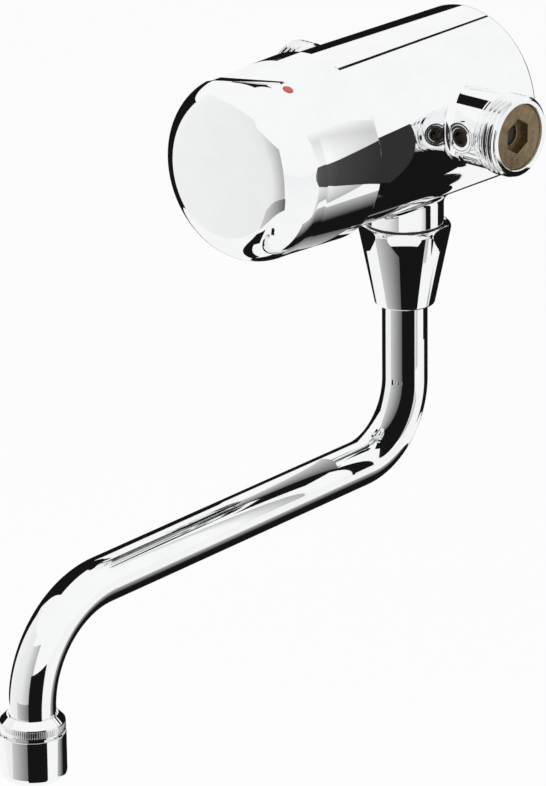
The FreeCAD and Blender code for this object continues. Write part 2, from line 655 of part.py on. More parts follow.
# Hot and cold inlets: stations run outwards from the middle of the mixer.
for side in SIDES:
    keep(f"inlet_nipple_{side}", turned(f"inlet_nipple_{side}", side, [
        ("sizes.nipple_throat_radius", "places.nipple_back"),
        ("sizes.nipple_spigot_radius", "places.nipple_back"),
        ("sizes.nipple_spigot_radius", "places.neck_end"),
        ("sizes.thread_radius", "places.neck_end"),
        ("sizes.thread_radius", "places.inlet_reach - sizes.thread_chamfer"),
        ("sizes.thread_radius - sizes.thread_chamfer", "places.inlet_reach"),
        ("sizes.nipple_bore_radius", "places.inlet_reach"),
        ("sizes.nipple_bore_radius", "places.nipple_step"),
        ("sizes.nipple_throat_radius", "places.nipple_step"),
    ]))
    keep(f"check_valve_washer_{side}", ring(
        f"check_valve_washer_{side}", side, "places.check_chamber_radius",
        "sizes.nipple_bore_radius - sizes.slide_gap", "places.nipple_step", "places.check_back"))
    cage = turned(f"check_cage_{side}", side, [
        ("places.check_chamber_radius", "places.check_back"),
        ("sizes.nipple_bore_radius - sizes.fit_gap", "places.check_back"),
        ("sizes.nipple_bore_radius - sizes.fit_gap", "places.check_front"),
        ("0", "places.check_front"),
        ("0", "places.key_floor"),
        ("sizes.seat_radius", "places.key_floor"),
        ("sizes.seat_radius", "places.seat_station"),
        ("places.check_chamber_radius", "places.seat_station"),
    ])
    keep(f"check_valve_body_{side}", joined(f"check_valve_body_{side}", "Cut", cage, [
        prism(f"key_socket_{side}", side, "sizes.key_socket", "places.key_floor", "places.check_front"),
    ]))
    keep(f"check_valve_poppet_{side}", turned(f"check_valve_poppet_{side}", side, [
        ("0", "places.stem_back"),
        ("sizes.poppet_stem_radius", "places.stem_back"),
        ("sizes.poppet_stem_radius", "places.poppet_back"),
        ("sizes.poppet_radius", "places.poppet_back"),
        ("sizes.poppet_radius", "places.poppet_front"),
        ("0", "places.poppet_front"),
    ]))
    plate = turned(f"guide_plate_{side}", side, [
        ("sizes.poppet_stem_radius + sizes.slide_gap", "places.guide_front"),
        ("sizes.nipple_throat_radius - sizes.fit_gap", "places.guide_front"),
        ("sizes.nipple_throat_radius - sizes.fit_gap", "places.guide_foot"),
        ("sizes.nipple_throat_radius - sizes.guide_rim", "places.guide_foot"),
        ("sizes.nipple_throat_radius - sizes.guide_rim", "places.guide_back"),
        ("sizes.poppet_stem_radius + sizes.slide_gap", "places.guide_back"),
    ])
    keep(f"check_valve_guide_{side}", joined(
        f"check_valve_guide_{side}", "Cut", plate,
        ring_of_holes(f"guide_ports_{side}", side, SIZES["guide_ports"], "sizes.guide_port_radius",
                      "sizes.guide_port_circle", "places.guide_back", "places.guide_front")))
    keep(f"check_valve_spring_{side}", coil(
        f"check_valve_spring_{side}", side, "sizes.check_spring_radius", "sizes.check_spring_wire",
        "sizes.check_spring_turns", "places.guide_front", "places.poppet_back"))

# Stop valves: stations run forwards from the tail of the plug.
for side in SIDES:
    valve = side + "_valve"
    plug = turned(f"plug_{side}", valve, [
        ("0", "sizes.fit_gap"),
        ("sizes.plug_radius", "sizes.fit_gap"),
        ("sizes.plug_radius", "places.plug_front"),
        ("sizes.stem_radius", "places.plug_front"),
        ("sizes.stem_radius", "places.valve_front"),
        ("0", "places.valve_front"),
    ])
    keep(f"stop_valve_plug_{side}", joined(f"stop_valve_plug_{side}", "Cut", plug, [
        bar(f"plug_way_{side}", side, "sizes.passage_radius", "places.plug_near", "places.plug_far"),
        prism(f"stop_socket_{side}", valve, "sizes.stop_socket",
              "places.valve_front - sizes.stop_socket_depth", "places.valve_front"),
    ]))
    keep(f"stop_valve_o_ring_{side}", ring(
        f"stop_valve_o_ring_{side}", valve, "sizes.stem_radius + sizes.fit_gap",
        "sizes.plug_radius", "places.plug_front + sizes.fit_gap", "places.gland_back - sizes.fit_gap"))
    keep(f"stop_valve_gland_{side}", ring(
        f"stop_valve_gland_{side}", valve, "sizes.stem_radius + sizes.fit_gap", "sizes.gland_radius",
        "places.gland_back", "places.valve_front"))

# Outlet and swivel joint: stations run downwards from the body axis.
keep("outlet_nipple", turned("outlet_nipple", "down", [
    ("sizes.outlet_bore_radius", "places.outlet_spigot_top"),
    ("sizes.outlet_spigot_radius", "places.outlet_spigot_top"),
    ("sizes.outlet_spigot_radius", "places.boss_drop"),
    ("sizes.outlet_thread_radius", "places.boss_drop"),
    ("sizes.outlet_thread_radius", "places.nipple_foot"),
    ("places.swivel_bore_radius", "places.nipple_foot"),
    ("places.swivel_bore_radius", "places.swivel_bore_top"),
    ("sizes.outlet_bore_radius", "places.swivel_bore_top"),
]))
nut = turned("nut_blank", "down", [
    ("sizes.outlet_thread_radius + sizes.fit_gap", "places.nut_top"),
    ("sizes.nut_top_radius", "places.nut_top"),
    ("places.nut_foot_radius", "places.nut_foot"),
    ("places.nut_hole_radius", "places.nut_foot"),
    ("places.nut_hole_radius", "places.ledge"),
    ("places.nut_step_radius", "places.ledge"),
    ("places.nut_step_radius", "places.nut_step"),
    ("sizes.outlet_thread_radius + sizes.fit_gap", "places.nut_step"),
])
round_edges(nut, [
    ("sizes.nut_top_radius", "places.nut_top", "sizes.nut_top_round"),
    ("places.nut_foot_radius", "places.nut_foot", "sizes.nut_foot_round"),
])
wrench = prism("wrench_flats", "down", "2 * sizes.nut_flat", "places.nut_top",
               "places.nut_top + sizes.nut_flat_height", "sizes.nut_turn")
collar_round = ring("flats_blank", "down", "places.nut_foot_radius",
                    "sizes.nut_top_radius + sizes.cutter_margin", "places.nut_top",
                    "places.nut_top + sizes.nut_flat_height")
flats = joined("flats_waste", "Cut", collar_round, [wrench])
keep("spout_nut", joined("spout_nut", "Cut", nut, [flats]))
keep("friction_washer", ring(
    "friction_washer", "down", "places.nut_hole_radius", "sizes.swivel_flange_radius",
    "places.flange_foot + sizes.fit_gap", "places.ledge - sizes.fit_gap"))
keep("spout_swivel", turned("spout_swivel", "down", [
    ("places.tube_fit", "places.swivel_top"),
    ("places.swivel_radius", "places.swivel_top"),
    ("places.swivel_radius", "places.ring_top"),
    ("places.groove_radius", "places.ring_top"),
    ("places.groove_radius", "places.ring_foot"),
    ("places.swivel_radius", "places.ring_foot"),
    ("places.swivel_radius", "places.flange_top"),
    ("sizes.swivel_flange_radius", "places.flange_top"),
    ("sizes.swivel_flange_radius", "places.flange_foot"),
    ("places.tube_fit", "places.flange_foot"),
]))
keep("spout_o_ring", ring(
    "spout_o_ring", "down", "places.groove_radius + sizes.fit_gap",
    "places.swivel_bore_radius - sizes.fit_gap", "places.ring_top + sizes.fit_gap",
    "places.ring_foot - sizes.fit_gap"))

def short_arc(centre, radius, first, last):
    """Counter-clockwise arc between two spots of a sketch, the short way round."""
    start, end = (math.atan2(spot.y - centre.y, spot.x - centre.x) for spot in (first, last))
    if (end - start) % math.tau > math.pi:
        start, end = end, start
    circle = Part.Circle(centre, Vector(0, 0, 1), radius)
    return Part.ArcOfCircle(circle, start, start + (end - start) % math.tau)


# Spout tube: a riser, a long run and a drop, joined by two bends, in the plane of the mixer's middle.
tube = doc.addObject("PartDesign::Body", "spout_tube")
path = new_sketch(tube, "tube_path", "YZ_Plane")
drop, reach, fall = map(value, ("places.tube_drop", "sizes.spout_reach", "sizes.spout_fall"))
corners = [
    Vector(0, -value("places.tube_top"), 0),
    Vector(0, -drop, 0),
    Vector(-reach, -drop - fall, 0),
    Vector(-reach, -value("places.tube_end_drop"), 0),
]
bends = ("sizes.upper_bend_radius", "sizes.lower_bend_radius")
joints = [corners[0]]
arcs = []
for corner, before, after, radius in zip(corners[1:3], corners[:2], corners[2:], map(value, bends)):
    incoming = (before - corner).normalize()
    outgoing = (after - corner).normalize()
    half = incoming.getAngle(outgoing) / 2
    length = radius / math.tan(half)
    centre = corner + (incoming + outgoing).normalize() * (radius / math.sin(half))
    first = corner + incoming * length
    last = corner + outgoing * length
    arcs.append(short_arc(centre, radius, first, last))
    joints += [first, last]
joints.append(corners[3])
riser = path.addGeometry(Part.LineSegment(joints[0], joints[1]), False)
upper = path.addGeometry(arcs[0], False)
run = path.addGeometry(Part.LineSegment(joints[2], joints[3]), False)
lower = path.addGeometry(arcs[1], False)
mouth = path.addGeometry(Part.LineSegment(joints[4], joints[5]), False)


def arc_end(arc, spot):
    """Which end of a drawn arc lies at a spot: 1 for its start, 2 for its end."""
    start = path.Geometry[arc].StartPoint
    return 1 if start.distanceToPoint(spot) < 1e-6 else 2


for line, end, arc, spot in ((riser, 2, upper, joints[1]), (run, 1, upper, joints[2]),
                             (run, 2, lower, joints[3]), (mouth, 1, lower, joints[4])):
    path.addConstraint(Sketcher.Constraint("Tangent", line, end, arc, arc_end(arc, spot)))
for line in (riser, mouth):
    path.addConstraint(Sketcher.Constraint("Vertical", line))
path.addConstraint(Sketcher.Constraint("PointOnObject", riser, 1, -2))
corner_points = [path.addGeometry(Part.Point(corner), True) for corner in corners[1:3]]
for point in corner_points:
    path.addConstraint(Sketcher.Constraint("PointOnObject", point, 1, run))
path.addConstraint(Sketcher.Constraint("PointOnObject", corner_points[0], 1, -2))
for kind, ends, formula in (
        ("Radius", (upper,), bends[0]),
        ("Radius", (lower,), bends[1]),
        ("DistanceY", (riser, 1, -1, 1), "places.tube_top"),
        ("DistanceY", (corner_points[0], 1, -1, 1), "places.tube_drop"),
        ("DistanceY", (corner_points[1], 1, -1, 1), "places.tube_drop + sizes.spout_fall"),
        ("DistanceX", (corner_points[1], 1, -1, 1), "sizes.spout_reach"),
        ("DistanceX", (mouth, 2, -1, 1), "sizes.spout_reach"),
        ("DistanceY", (mouth, 2, -1, 1), "places.tube_end_drop")):
    number = path.addConstraint(Sketcher.Constraint(kind, *ends, value(formula)))
    path.setExpression(f"Constraints[{number}]", formula)
doc.recompute()
section = new_sketch(tube, "tube_section", "XY_Plane")
section.setExpression("AttachmentOffset.Base.z", "-places.tube_top")
for number, formula in enumerate(("sizes.tube_radius", "sizes.tube_radius - sizes.tube_wall")):
    section.addGeometry(Part.Circle(Vector(), Vector(0, 0, 1), value(formula)), False)
    section.addConstraint(Sketcher.Constraint("Coincident", number, 3, -1, 1))
    held = section.addConstraint(Sketcher.Constraint("Radius", number, value(formula)))
    section.setExpression(f"Constraints[{held}]", formula)
pipe = tube.newObject("PartDesign::AdditivePipe", "tube_pipe")
pipe.Profile = section
pipe.Spine = (path, [f"Edge{i}" for i in range(1, 6)])
doc.recompute()
tube.setExpression("Placement.Base.y", SETBACK)
keep("spout_tube", tube)

# Spout end and aerator: stations run downwards from the body axis.
keep("spout_end_collar", turned("spout_end_collar", "outlet", [
    ("places.tube_fit", "places.end_collar_top"),
    ("places.tube_fit + sizes.end_cone_lip", "places.end_collar_top"),
    ("places.end_collar_radius", "places.end_collar_top + sizes.end_cone_height"),
    ("places.end_collar_radius", "places.end_collar_foot"),
    ("places.end_thread_radius", "places.end_collar_foot"),
    ("places.end_thread_radius", "places.end_thread_foot"),
    ("sizes.tube_radius - sizes.tube_wall", "places.end_thread_foot"),
    ("sizes.tube_radius - sizes.tube_wall", "places.tube_end_drop + sizes.fit_gap"),
    ("places.tube_fit", "places.tube_end_drop + sizes.fit_gap"),
]))
housing = turned("aerator_housing", "outlet", [
    ("places.end_thread_radius + sizes.fit_gap", "places.aerator_top"),
    ("places.aerator_radius", "places.aerator_top"),
    ("places.aerator_radius", "places.aerator_foot"),
    ("places.aerator_mouth_radius", "places.aerator_foot"),
    ("places.aerator_mouth_radius", "places.lip_top"),
    ("places.end_thread_radius + sizes.fit_gap", "places.lip_top"),
])
round_edges(housing, [("places.aerator_radius", "places.aerator_foot", "sizes.aerator_round")])
keep("aerator_housing", housing)
keep("aerator_washer", ring(
    "aerator_washer", "outlet", "sizes.tube_radius - sizes.tube_wall",
    "places.end_thread_radius - sizes.fit_gap", "places.end_thread_foot", "places.washer_foot"))
jets = bar("jet_blank", "outlet", "places.end_thread_radius - sizes.fit_gap", "places.washer_foot",
           "places.jet_foot")
keep("jet_plate", joined("jet_plate", "Cut", jets, ring_of_holes(
    "jet_hole", "outlet", SIZES["jet_holes"], "sizes.jet_hole_radius", "sizes.jet_circle",
    "places.washer_foot", "places.jet_foot")))
grid = turned("straightener_blank", "outlet", [
    ("0", "places.jet_foot"),
    ("places.end_thread_radius - sizes.fit_gap", "places.jet_foot"),
    ("places.end_thread_radius - sizes.fit_gap", "places.lip_top"),
    ("places.aerator_mouth_radius - sizes.fit_gap", "places.lip_top"),
    ("places.aerator_mouth_radius - sizes.fit_gap", "places.straightener_foot"),
    ("0", "places.straightener_foot"),
])
channels = [bar("straightener_centre", "outlet", "sizes.straightener_hole_radius", "places.jet_foot",
                "places.straightener_foot")]
for circle in ("inner", "outer"):
    channels += ring_of_holes(
        f"straightener_{circle}", "outlet", SIZES[f"straightener_{circle}_holes"],
        "sizes.straightener_hole_radius", f"sizes.straightener_{circle}_circle", "places.jet_foot",
        "places.straightener_foot")
keep("flow_straightener", joined("flow_straightener", "Cut", grid, channels))

# Push button: stations run from the wall.
OUTSIDE = [
    ("places.rim_radius", "places.rim_station"),
    ("places.cap_side_radius", "places.cap_side_station"),
    ("places.cap_side_radius", "places.cap_edge_station"),
    ("0", "places.cap_nose_station"),
]
CAP_EDGE = ("places.cap_side_radius", "places.cap_edge_station", "sizes.cap_corner_radius")
shell = turned("cap_shell", "front", OUTSIDE + [
    ("0", "places.cap_inner_front"),
    ("places.cap_core_radius", "places.cap_inner_front"),
    ("places.cap_core_radius", "places.rim_station + sizes.cap_step_depth"),
    ("places.cap_step_radius", "places.rim_station + sizes.cap_step_depth"),
    ("places.cap_step_radius", "places.rim_station + sizes.cap_land_depth"),
    ("places.cap_inner_radius", "places.rim_station + sizes.cap_land_depth"),
    ("places.cap_inner_radius", "places.rim_station"),
], dome=2)
round_edges(shell, [
    CAP_EDGE,
    ("places.cap_core_radius", "places.cap_inner_front", "places.cap_inner_round"),
])
solid_cap = turned("solid_cap", "front", OUTSIDE + [("0", "places.rim_station")], dome=2)
round_edges(solid_cap, [CAP_EDGE])
scoop = doc.addObject("Part::Cylinder", "scoop")
scoop.setExpression("Radius", "sizes.scoop_radius")
scoop.setExpression("Height", "2 * places.rim_radius")
scoop.Placement = Placement(Vector(), Rotation(Vector(0, 1, 0), 90 + value("sizes.scoop_turn")))
scoop.setExpression("Placement.Base.x", "places.scoop_height * sin(sizes.scoop_turn)"
                    " - places.rim_radius * cos(sizes.scoop_turn)")
scoop.setExpression("Placement.Base.y", "-places.scoop_station")
scoop.setExpression("Placement.Base.z", "places.scoop_height * cos(sizes.scoop_turn)"
                    " + places.rim_radius * sin(sizes.scoop_turn)")
dot_seat = "places.cap_side_radius - sizes.dot_depth"
keep("button_cap", joined("button_cap", "Cut", shell, [
    scoop,
    bar("dot_seat", "dot", "sizes.dot_radius + sizes.fit_gap", dot_seat,
        "places.rim_radius + sizes.cutter_margin"),
    bar("grub_hole", "grub", "sizes.grub_radius + sizes.fit_gap",
        "places.cap_core_radius - sizes.cutter_margin", "places.rim_radius + sizes.cutter_margin"),
]))
dot_bar = bar("dot_bar", "dot", "sizes.dot_radius", dot_seat, "places.rim_radius + sizes.cutter_margin")
scooped_cap = joined("scooped_cap", "Cut", solid_cap, [scoop])
dot = doc.addObject("Part::Common", "temperature_dot")
dot.Base = dot_bar
dot.Tool = scooped_cap
doc.recompute()
keep("temperature_dot", dot)
grub = bar("grub_bar", "grub", "sizes.grub_radius", "places.grub_back", "places.grub_front")
keep("cap_grub_screw", joined("cap_grub_screw", "Cut", grub, [
    prism("grub_socket", "grub", "sizes.grub_socket",
          "places.grub_front - sizes.grub_socket_depth", "places.grub_front"),
]))

# Button carrier, spindle and their screw
carrier = turned("carrier_blank", "front", [
    ("0", "places.carrier_back"),
    ("places.carrier_radius", "places.carrier_back"),
    ("places.carrier_radius", "places.carrier_front"),
    ("places.carrier_inner", "places.carrier_front"),
    ("places.carrier_inner", "places.carrier_shelf"),
    ("sizes.carrier_hub_radius", "places.carrier_shelf"),
    ("sizes.carrier_hub_radius", "places.carrier_front"),
    ("0", "places.carrier_front"),
])
lug = bar("carrier_lug", "lug", "sizes.lug_size", "places.carrier_back - sizes.lug_length",
          "places.carrier_shelf")
lugged = joined("carrier_with_lug", "Fuse", carrier, [lug])
hex_way = "sizes.spindle_hex + 2 * sizes.fit_gap"
keep("button_carrier", joined("button_carrier", "Cut", lugged, [
    bar("carrier_round_way", "front", "places.spindle_way", "places.carrier_back", "places.carrier_shelf"),
    prism("carrier_hex_way", "front", hex_way, "places.carrier_shelf",
          "places.spindle_end + sizes.fit_gap"),
    bar("carrier_screw_way", "front", "sizes.carrier_screw_radius + sizes.fit_gap",
        "places.spindle_end", "places.carrier_front"),
    bar("grub_dimple", "grub", "sizes.grub_radius + sizes.fit_gap", "places.grub_back - sizes.fit_gap",
        "places.rim_radius"),
]))
keep("carrier_screw", turned("carrier_screw", "front", [
    ("0", "places.screw_back"),
    ("sizes.carrier_screw_radius", "places.screw_back"),
    ("sizes.carrier_screw_radius", "places.carrier_front"),
    ("sizes.carrier_screw_head", "places.carrier_front"),
    ("sizes.carrier_screw_head", "places.screw_top"),
    ("0", "places.screw_top"),
]))
stem = bar("spindle_stem", "front", "sizes.spindle_radius", "places.piston_back", "places.carrier_shelf")
back_hex = prism("spindle_back_hex", "front", "sizes.spindle_hex", "places.spindle_back",
                 "places.piston_back")
front_hex = prism("spindle_front_hex", "front", "sizes.spindle_hex", "places.carrier_shelf",
                  "places.spindle_end")
keep("spindle", joined("spindle", "Cut", joined("spindle_blank", "Fuse", stem, [back_hex, front_hex]), [
    bar("spindle_screw_way", "front", "sizes.carrier_screw_radius + sizes.fit_gap",
        "places.screw_back - sizes.slide_gap", "places.spindle_end"),
]))

# Timing and mixing cartridge: stations run from the wall.
bar_ports = [bar(f"seal_{port}", port, "sizes.port_radius + sizes.seal_width", "places.cavity_floor",
                 "places.cavity_floor + sizes.seal_thickness") for port in PORTS]
seal_ways = [bar(f"seal_way_{port}", port, "sizes.port_radius", "places.cavity_floor",
                 "places.cavity_floor + sizes.seal_thickness") for port in PORTS]
seals = joined("seal_blanks", "Fuse", bar_ports[0], bar_ports[1:])
keep("port_seals", joined("port_seals", "Cut", seals, seal_ways))
for label, radius, start, end in (
        ("cartridge_base", "places.housing_radius", "places.cavity_floor + sizes.seal_thickness",
         "places.housing_back"),
        ("fixed_disc", "places.disc_radius", "places.housing_back", "places.fixed_front")):
    blank = bar(label + "_blank", "front", radius, start, end)
    ways = [bar(f"{label}_{port}", port, "sizes.port_radius", start, end) for port in PORTS]
    keep(label, joined(label, "Cut", blank, ways))
disc = ring("mixing_blank", "front", "sizes.disc_centre_radius", "places.disc_radius",
            "places.fixed_front", "places.mixing_front")
recess_ring = ring("recess_ring", "front", "sizes.recess_inner", "places.recess_outer",
                   "places.fixed_front", "places.fixed_front + sizes.recess_depth")
lower_half = doc.addObject("Part::Box", "lower_half")
lower_half.setExpression("Length", "2 * places.disc_radius")
lower_half.setExpression("Width", "sizes.recess_depth")
lower_half.setExpression("Height", "places.disc_radius + sizes.inlet_rise")
lower_half.setExpression("Placement.Base.x", "-places.disc_radius")
lower_half.setExpression("Placement.Base.y", "-(places.fixed_front + sizes.recess_depth)")
lower_half.setExpression("Placement.Base.z", "-places.disc_radius")
recess = doc.addObject("Part::Common", "mixing_recess")
recess.Base = recess_ring
recess.Tool = lower_half
dog_back = "places.mixing_front - sizes.dog_length"
dog_holes = [bar(f"{side}_dog_hole", side + "_dog", "sizes.dog_radius + sizes.fit_gap",
                 dog_back + " - sizes.slide_gap", "places.mixing_front") for side in SIDES]
keep("mixing_disc", joined("mixing_disc", "Cut", disc, [recess] + dog_holes))
driver = turned("driver_blank", "front", [
    ("0", "places.mixing_front"),
    ("places.disc_radius", "places.mixing_front"),
    ("places.disc_radius", "places.driver_front"),
    ("sizes.driver_hub_radius", "places.driver_front"),
    ("sizes.driver_hub_radius", "places.hub_front"),
    ("0", "places.hub_front"),
])
dogs = [bar(f"{side}_dog_pin", side + "_dog", "sizes.dog_radius", dog_back, "places.driver_front")
        for side in SIDES]
keep("disc_driver", joined("disc_driver", "Cut", joined("driver_with_dogs", "Fuse", driver, dogs), [
    prism("driver_hex_way", "front", "sizes.spindle_hex + 2 * sizes.slide_gap", "places.mixing_front",
          "places.hub_front"),
]))
keep("cartridge_housing", turned("cartridge_housing", "front", [
    ("places.housing_bore_radius", "places.housing_back"),
    ("places.housing_radius", "places.housing_back"),
    ("places.housing_radius", "places.housing_groove_back"),
    ("places.housing_radius - sizes.housing_groove_depth", "places.housing_groove_back"),
    ("places.housing_radius - sizes.housing_groove_depth", "places.housing_groove_front"),
    ("places.housing_radius", "places.housing_groove_front"),
    ("places.housing_radius", "places.housing_face"),
    ("sizes.nose_radius", "places.housing_face"),
    ("sizes.nose_radius", "places.nose_end"),
    ("places.spindle_way", "places.nose_end"),
    ("places.spindle_way", "places.nose_groove_front"),
    ("places.spindle_way + sizes.nose_groove_depth", "places.nose_groove_front"),
    ("places.spindle_way + sizes.nose_groove_depth", "places.nose_groove_back"),
    ("places.spindle_way", "places.nose_groove_back"),
    ("places.spindle_way", "places.housing_inner"),
    ("places.housing_bore_radius", "places.housing_inner"),
]))
keep("housing_o_ring", ring(
    "housing_o_ring", "front", "places.housing_radius - sizes.housing_groove_depth + sizes.fit_gap",
    "sizes.cavity_radius - sizes.fit_gap", "places.housing_groove_back + sizes.fit_gap",
    "places.housing_groove_front - sizes.fit_gap"))
keep("spindle_o_ring", ring(
    "spindle_o_ring", "front", "sizes.spindle_radius + sizes.fit_gap",
    "places.spindle_way + sizes.nose_groove_depth - sizes.fit_gap",
    "places.nose_groove_back + sizes.fit_gap", "places.nose_groove_front - sizes.fit_gap"))
keep("timing_piston", turned("timing_piston", "front", [
    ("sizes.spindle_radius + sizes.fit_gap", "places.piston_back"),
    ("places.piston_radius", "places.piston_back"),
    ("places.piston_radius", "places.piston_groove_back"),
    ("places.piston_radius - sizes.piston_groove", "places.piston_groove_back"),
    ("places.piston_radius - sizes.piston_groove", "places.piston_groove_front"),
    ("places.piston_radius", "places.piston_groove_front"),
    ("places.piston_radius", "places.piston_front"),
    ("sizes.spindle_radius + sizes.fit_gap", "places.piston_front"),
]))
keep("piston_seal", ring(
    "piston_seal", "front", "places.piston_radius - sizes.piston_groove + sizes.fit_gap",
    "places.housing_bore_radius - sizes.slide_gap", "places.piston_groove_back + sizes.fit_gap",
    "places.piston_groove_front - sizes.fit_gap"))
keep("return_spring", coil("return_spring", "front", "sizes.spring_radius", "sizes.spring_wire",
                           "sizes.spring_turns", "places.driver_front", "places.piston_back"))
stop = ring("stop_ring_blank", "front", "sizes.nose_radius + sizes.fit_gap", "sizes.stop_ring_radius",
            "places.stop_ring_back", "places.stop_ring_front")
ears = [bar(f"{side}_ear_bar", side + "_ear", "sizes.stop_ear_radius", "places.stop_ring_back",
            "places.stop_ring_front") for side in SIDES]
keep("temperature_stop_ring", joined("temperature_stop_ring", "Fuse", stop, ears))
keep("cartridge_ring_nut", ring(
    "cartridge_ring_nut", "front", "places.ring_nut_hole_radius", "places.ring_nut_radius",
    "places.housing_face", "sizes.body_length"))

# Every object is checked before anything is written.
doc.recompute()
for item in doc.Objects:
    if {"Invalid", "Error"} & set(item.State):
        raise RuntimeError(f"{item.Label} failed: {item.State}")
for label, piece in nodes.items():
    if piece.Shape.isNull() or not piece.Shape.isValid() or not piece.Shape.Solids:
        raise RuntimeError(f"{label} has no sound solid")
os.makedirs("parts", exist_ok=True)
for label, piece in nodes.items():
    piece.Shape.exportStep(f"parts/{label}.step")
print(len(nodes), "pieces written")
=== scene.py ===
# %% [markdown]
# # A self-closing wall mixer, dressed for the camera
# The pieces below are drawn in millimetres, in the same places, and turned into metres when
# they become meshes.

# %% Load the mixer
import math
from math import cos, pi, radians, sin, sqrt, tau

import bmesh
import bpy
from mathutils import Matrix, Vector
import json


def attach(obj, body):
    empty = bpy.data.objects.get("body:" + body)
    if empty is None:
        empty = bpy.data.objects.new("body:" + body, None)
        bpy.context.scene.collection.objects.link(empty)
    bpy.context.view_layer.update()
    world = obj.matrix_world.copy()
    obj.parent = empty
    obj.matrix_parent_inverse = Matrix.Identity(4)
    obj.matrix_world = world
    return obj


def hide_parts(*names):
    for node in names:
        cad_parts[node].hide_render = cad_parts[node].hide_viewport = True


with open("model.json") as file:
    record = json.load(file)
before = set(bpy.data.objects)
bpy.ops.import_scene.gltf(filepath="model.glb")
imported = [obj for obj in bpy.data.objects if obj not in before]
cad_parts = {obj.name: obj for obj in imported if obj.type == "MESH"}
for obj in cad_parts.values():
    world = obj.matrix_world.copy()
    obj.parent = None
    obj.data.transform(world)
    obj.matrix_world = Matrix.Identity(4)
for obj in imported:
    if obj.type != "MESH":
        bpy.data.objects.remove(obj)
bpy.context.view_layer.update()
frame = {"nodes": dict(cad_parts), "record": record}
MM = 0.001

# %% [markdown]
# ## The camera
# The mixer was photographed with a long lens from the front, to its right and a little above.
# A camera can be turned with a Track To constraint, but here its axes are written down directly:
# the view direction and the picture's right come from how the round body and the spout line up
# in the photograph, and the up axis follows from the two.

# %% Camera
CAMERA_PLACE = Vector((1.12723, -1.32111, 0.53484))
view_axis = Vector((-0.63523298, 0.69067052, -0.34562017)).normalized()
picture_right = Vector((0.73845531, 0.67422979, -0.00989679))
picture_right = (picture_right - picture_right.dot(view_axis) * view_axis).normalized()
picture_up = picture_right.cross(view_axis)
LENS_LENGTH = 253.73                          # mm
camera_data = bpy.data.cameras.new("photo_camera")
camera_data.lens = LENS_LENGTH
camera_data.clip_end = 50
camera = bpy.data.objects.new("photo_camera", camera_data)
bpy.context.scene.collection.objects.link(camera)
axes = Matrix((picture_right, picture_up, -view_axis)).transposed()
camera.matrix_world = Matrix.Translation(CAMERA_PLACE) @ axes.to_4x4()
bpy.context.scene.camera = camera
bpy.context.scene.view_settings.view_transform = "Standard"
print("camera stands", round(CAMERA_PLACE.length, 2), "m from the middle of the wall face")

# %% [markdown]
# ## Small helpers for materials
# A material here is a Principled BSDF with a few nodes in front of it. These helpers only save
# typing: they add a node, set its sockets and join them.

# %% Node helpers
def add_node(tree, kind, settings=None, **sockets):
    """Adds a node at the end of a row; sockets have _ for a space, links are (node, output)."""
    node = tree.nodes.new("ShaderNode" + kind)
    node.location = (200 * len(tree.nodes) - 2000, -400)
    for word, setting in (settings or {}).items():
        setattr(node, word, setting)
    for word, given in sockets.items():
        fill(tree, node, word.replace("_", " "), given)
    return node


def fill(tree, node, socket, given):
    """Sets one socket of a node, or joins it to the output of another."""
    target = node.inputs[socket]
    if isinstance(given, tuple) and isinstance(given[0], bpy.types.Node):
        tree.links.new(given[0].outputs[given[1]], target)
    else:
        target.default_value = given


def reckon(tree, operation, *given, kind="Math"):
    """A Math or Vector Math node with its numbers or links in order."""
    node = add_node(tree, kind, {"operation": operation})
    for i, number in enumerate(given):
        fill(tree, node, i, number)
    return node


def raise_skin(tree, shader, strength, depth, height):
    """A shallow bump, depth metres at full strength."""
    bump = add_node(tree, "Bump", Strength=strength, Distance=depth, Height=height)
    fill(tree, shader, "Normal", (bump, "Normal"))


def new_material(name):
    """A material with an empty Principled BSDF; returns the material, its tree and the shader."""
    material = bpy.data.materials.new(name)
    material.use_nodes = True
    tree = material.node_tree
    return material, tree, tree.nodes["Principled BSDF"]


# %% [markdown]
# ## The studio
# Chrome has hardly any colour of its own: it shows the studio. The world is plain white for the
# camera and for reflections and softer for the light that falls on matt surfaces.

# %% World
def seen_or_mirrored(tree):
    """1 for the camera's rays and for those that metal or glass sends on, 0 for the rest."""
    path = add_node(tree, "LightPath")
    direct = reckon(tree, "MAXIMUM", (path, "Is Camera Ray"), (path, "Is Glossy Ray"))
    return (reckon(tree, "MAXIMUM", (direct, 0), (path, "Is Transmission Ray")), 0)


WHITE = (1, 1, 1, 1)
SOFT_LIGHT = 0.55
world = bpy.data.worlds.new("white_studio")
bpy.context.scene.world = world
world.use_nodes = True
sky = world.node_tree
level = add_node(sky, "MapRange", Value=seen_or_mirrored(sky), To_Min=SOFT_LIGHT, To_Max=1.0)
fill(sky, sky.nodes["Background"], "Color", WHITE)
fill(sky, sky.nodes["Background"], "Strength", (level, "Result"))
print("world:", SOFT_LIGHT, "for matt surfaces, 1 for the camera and reflections")

# %% [markdown]
# ## The floor
# A sheet of white paper far below the spout. It takes the object's shadow as any matt surface
# does, and most of what the camera sees of it is its own plain white, so the picture's ground
# is white without any more light on the mixer.

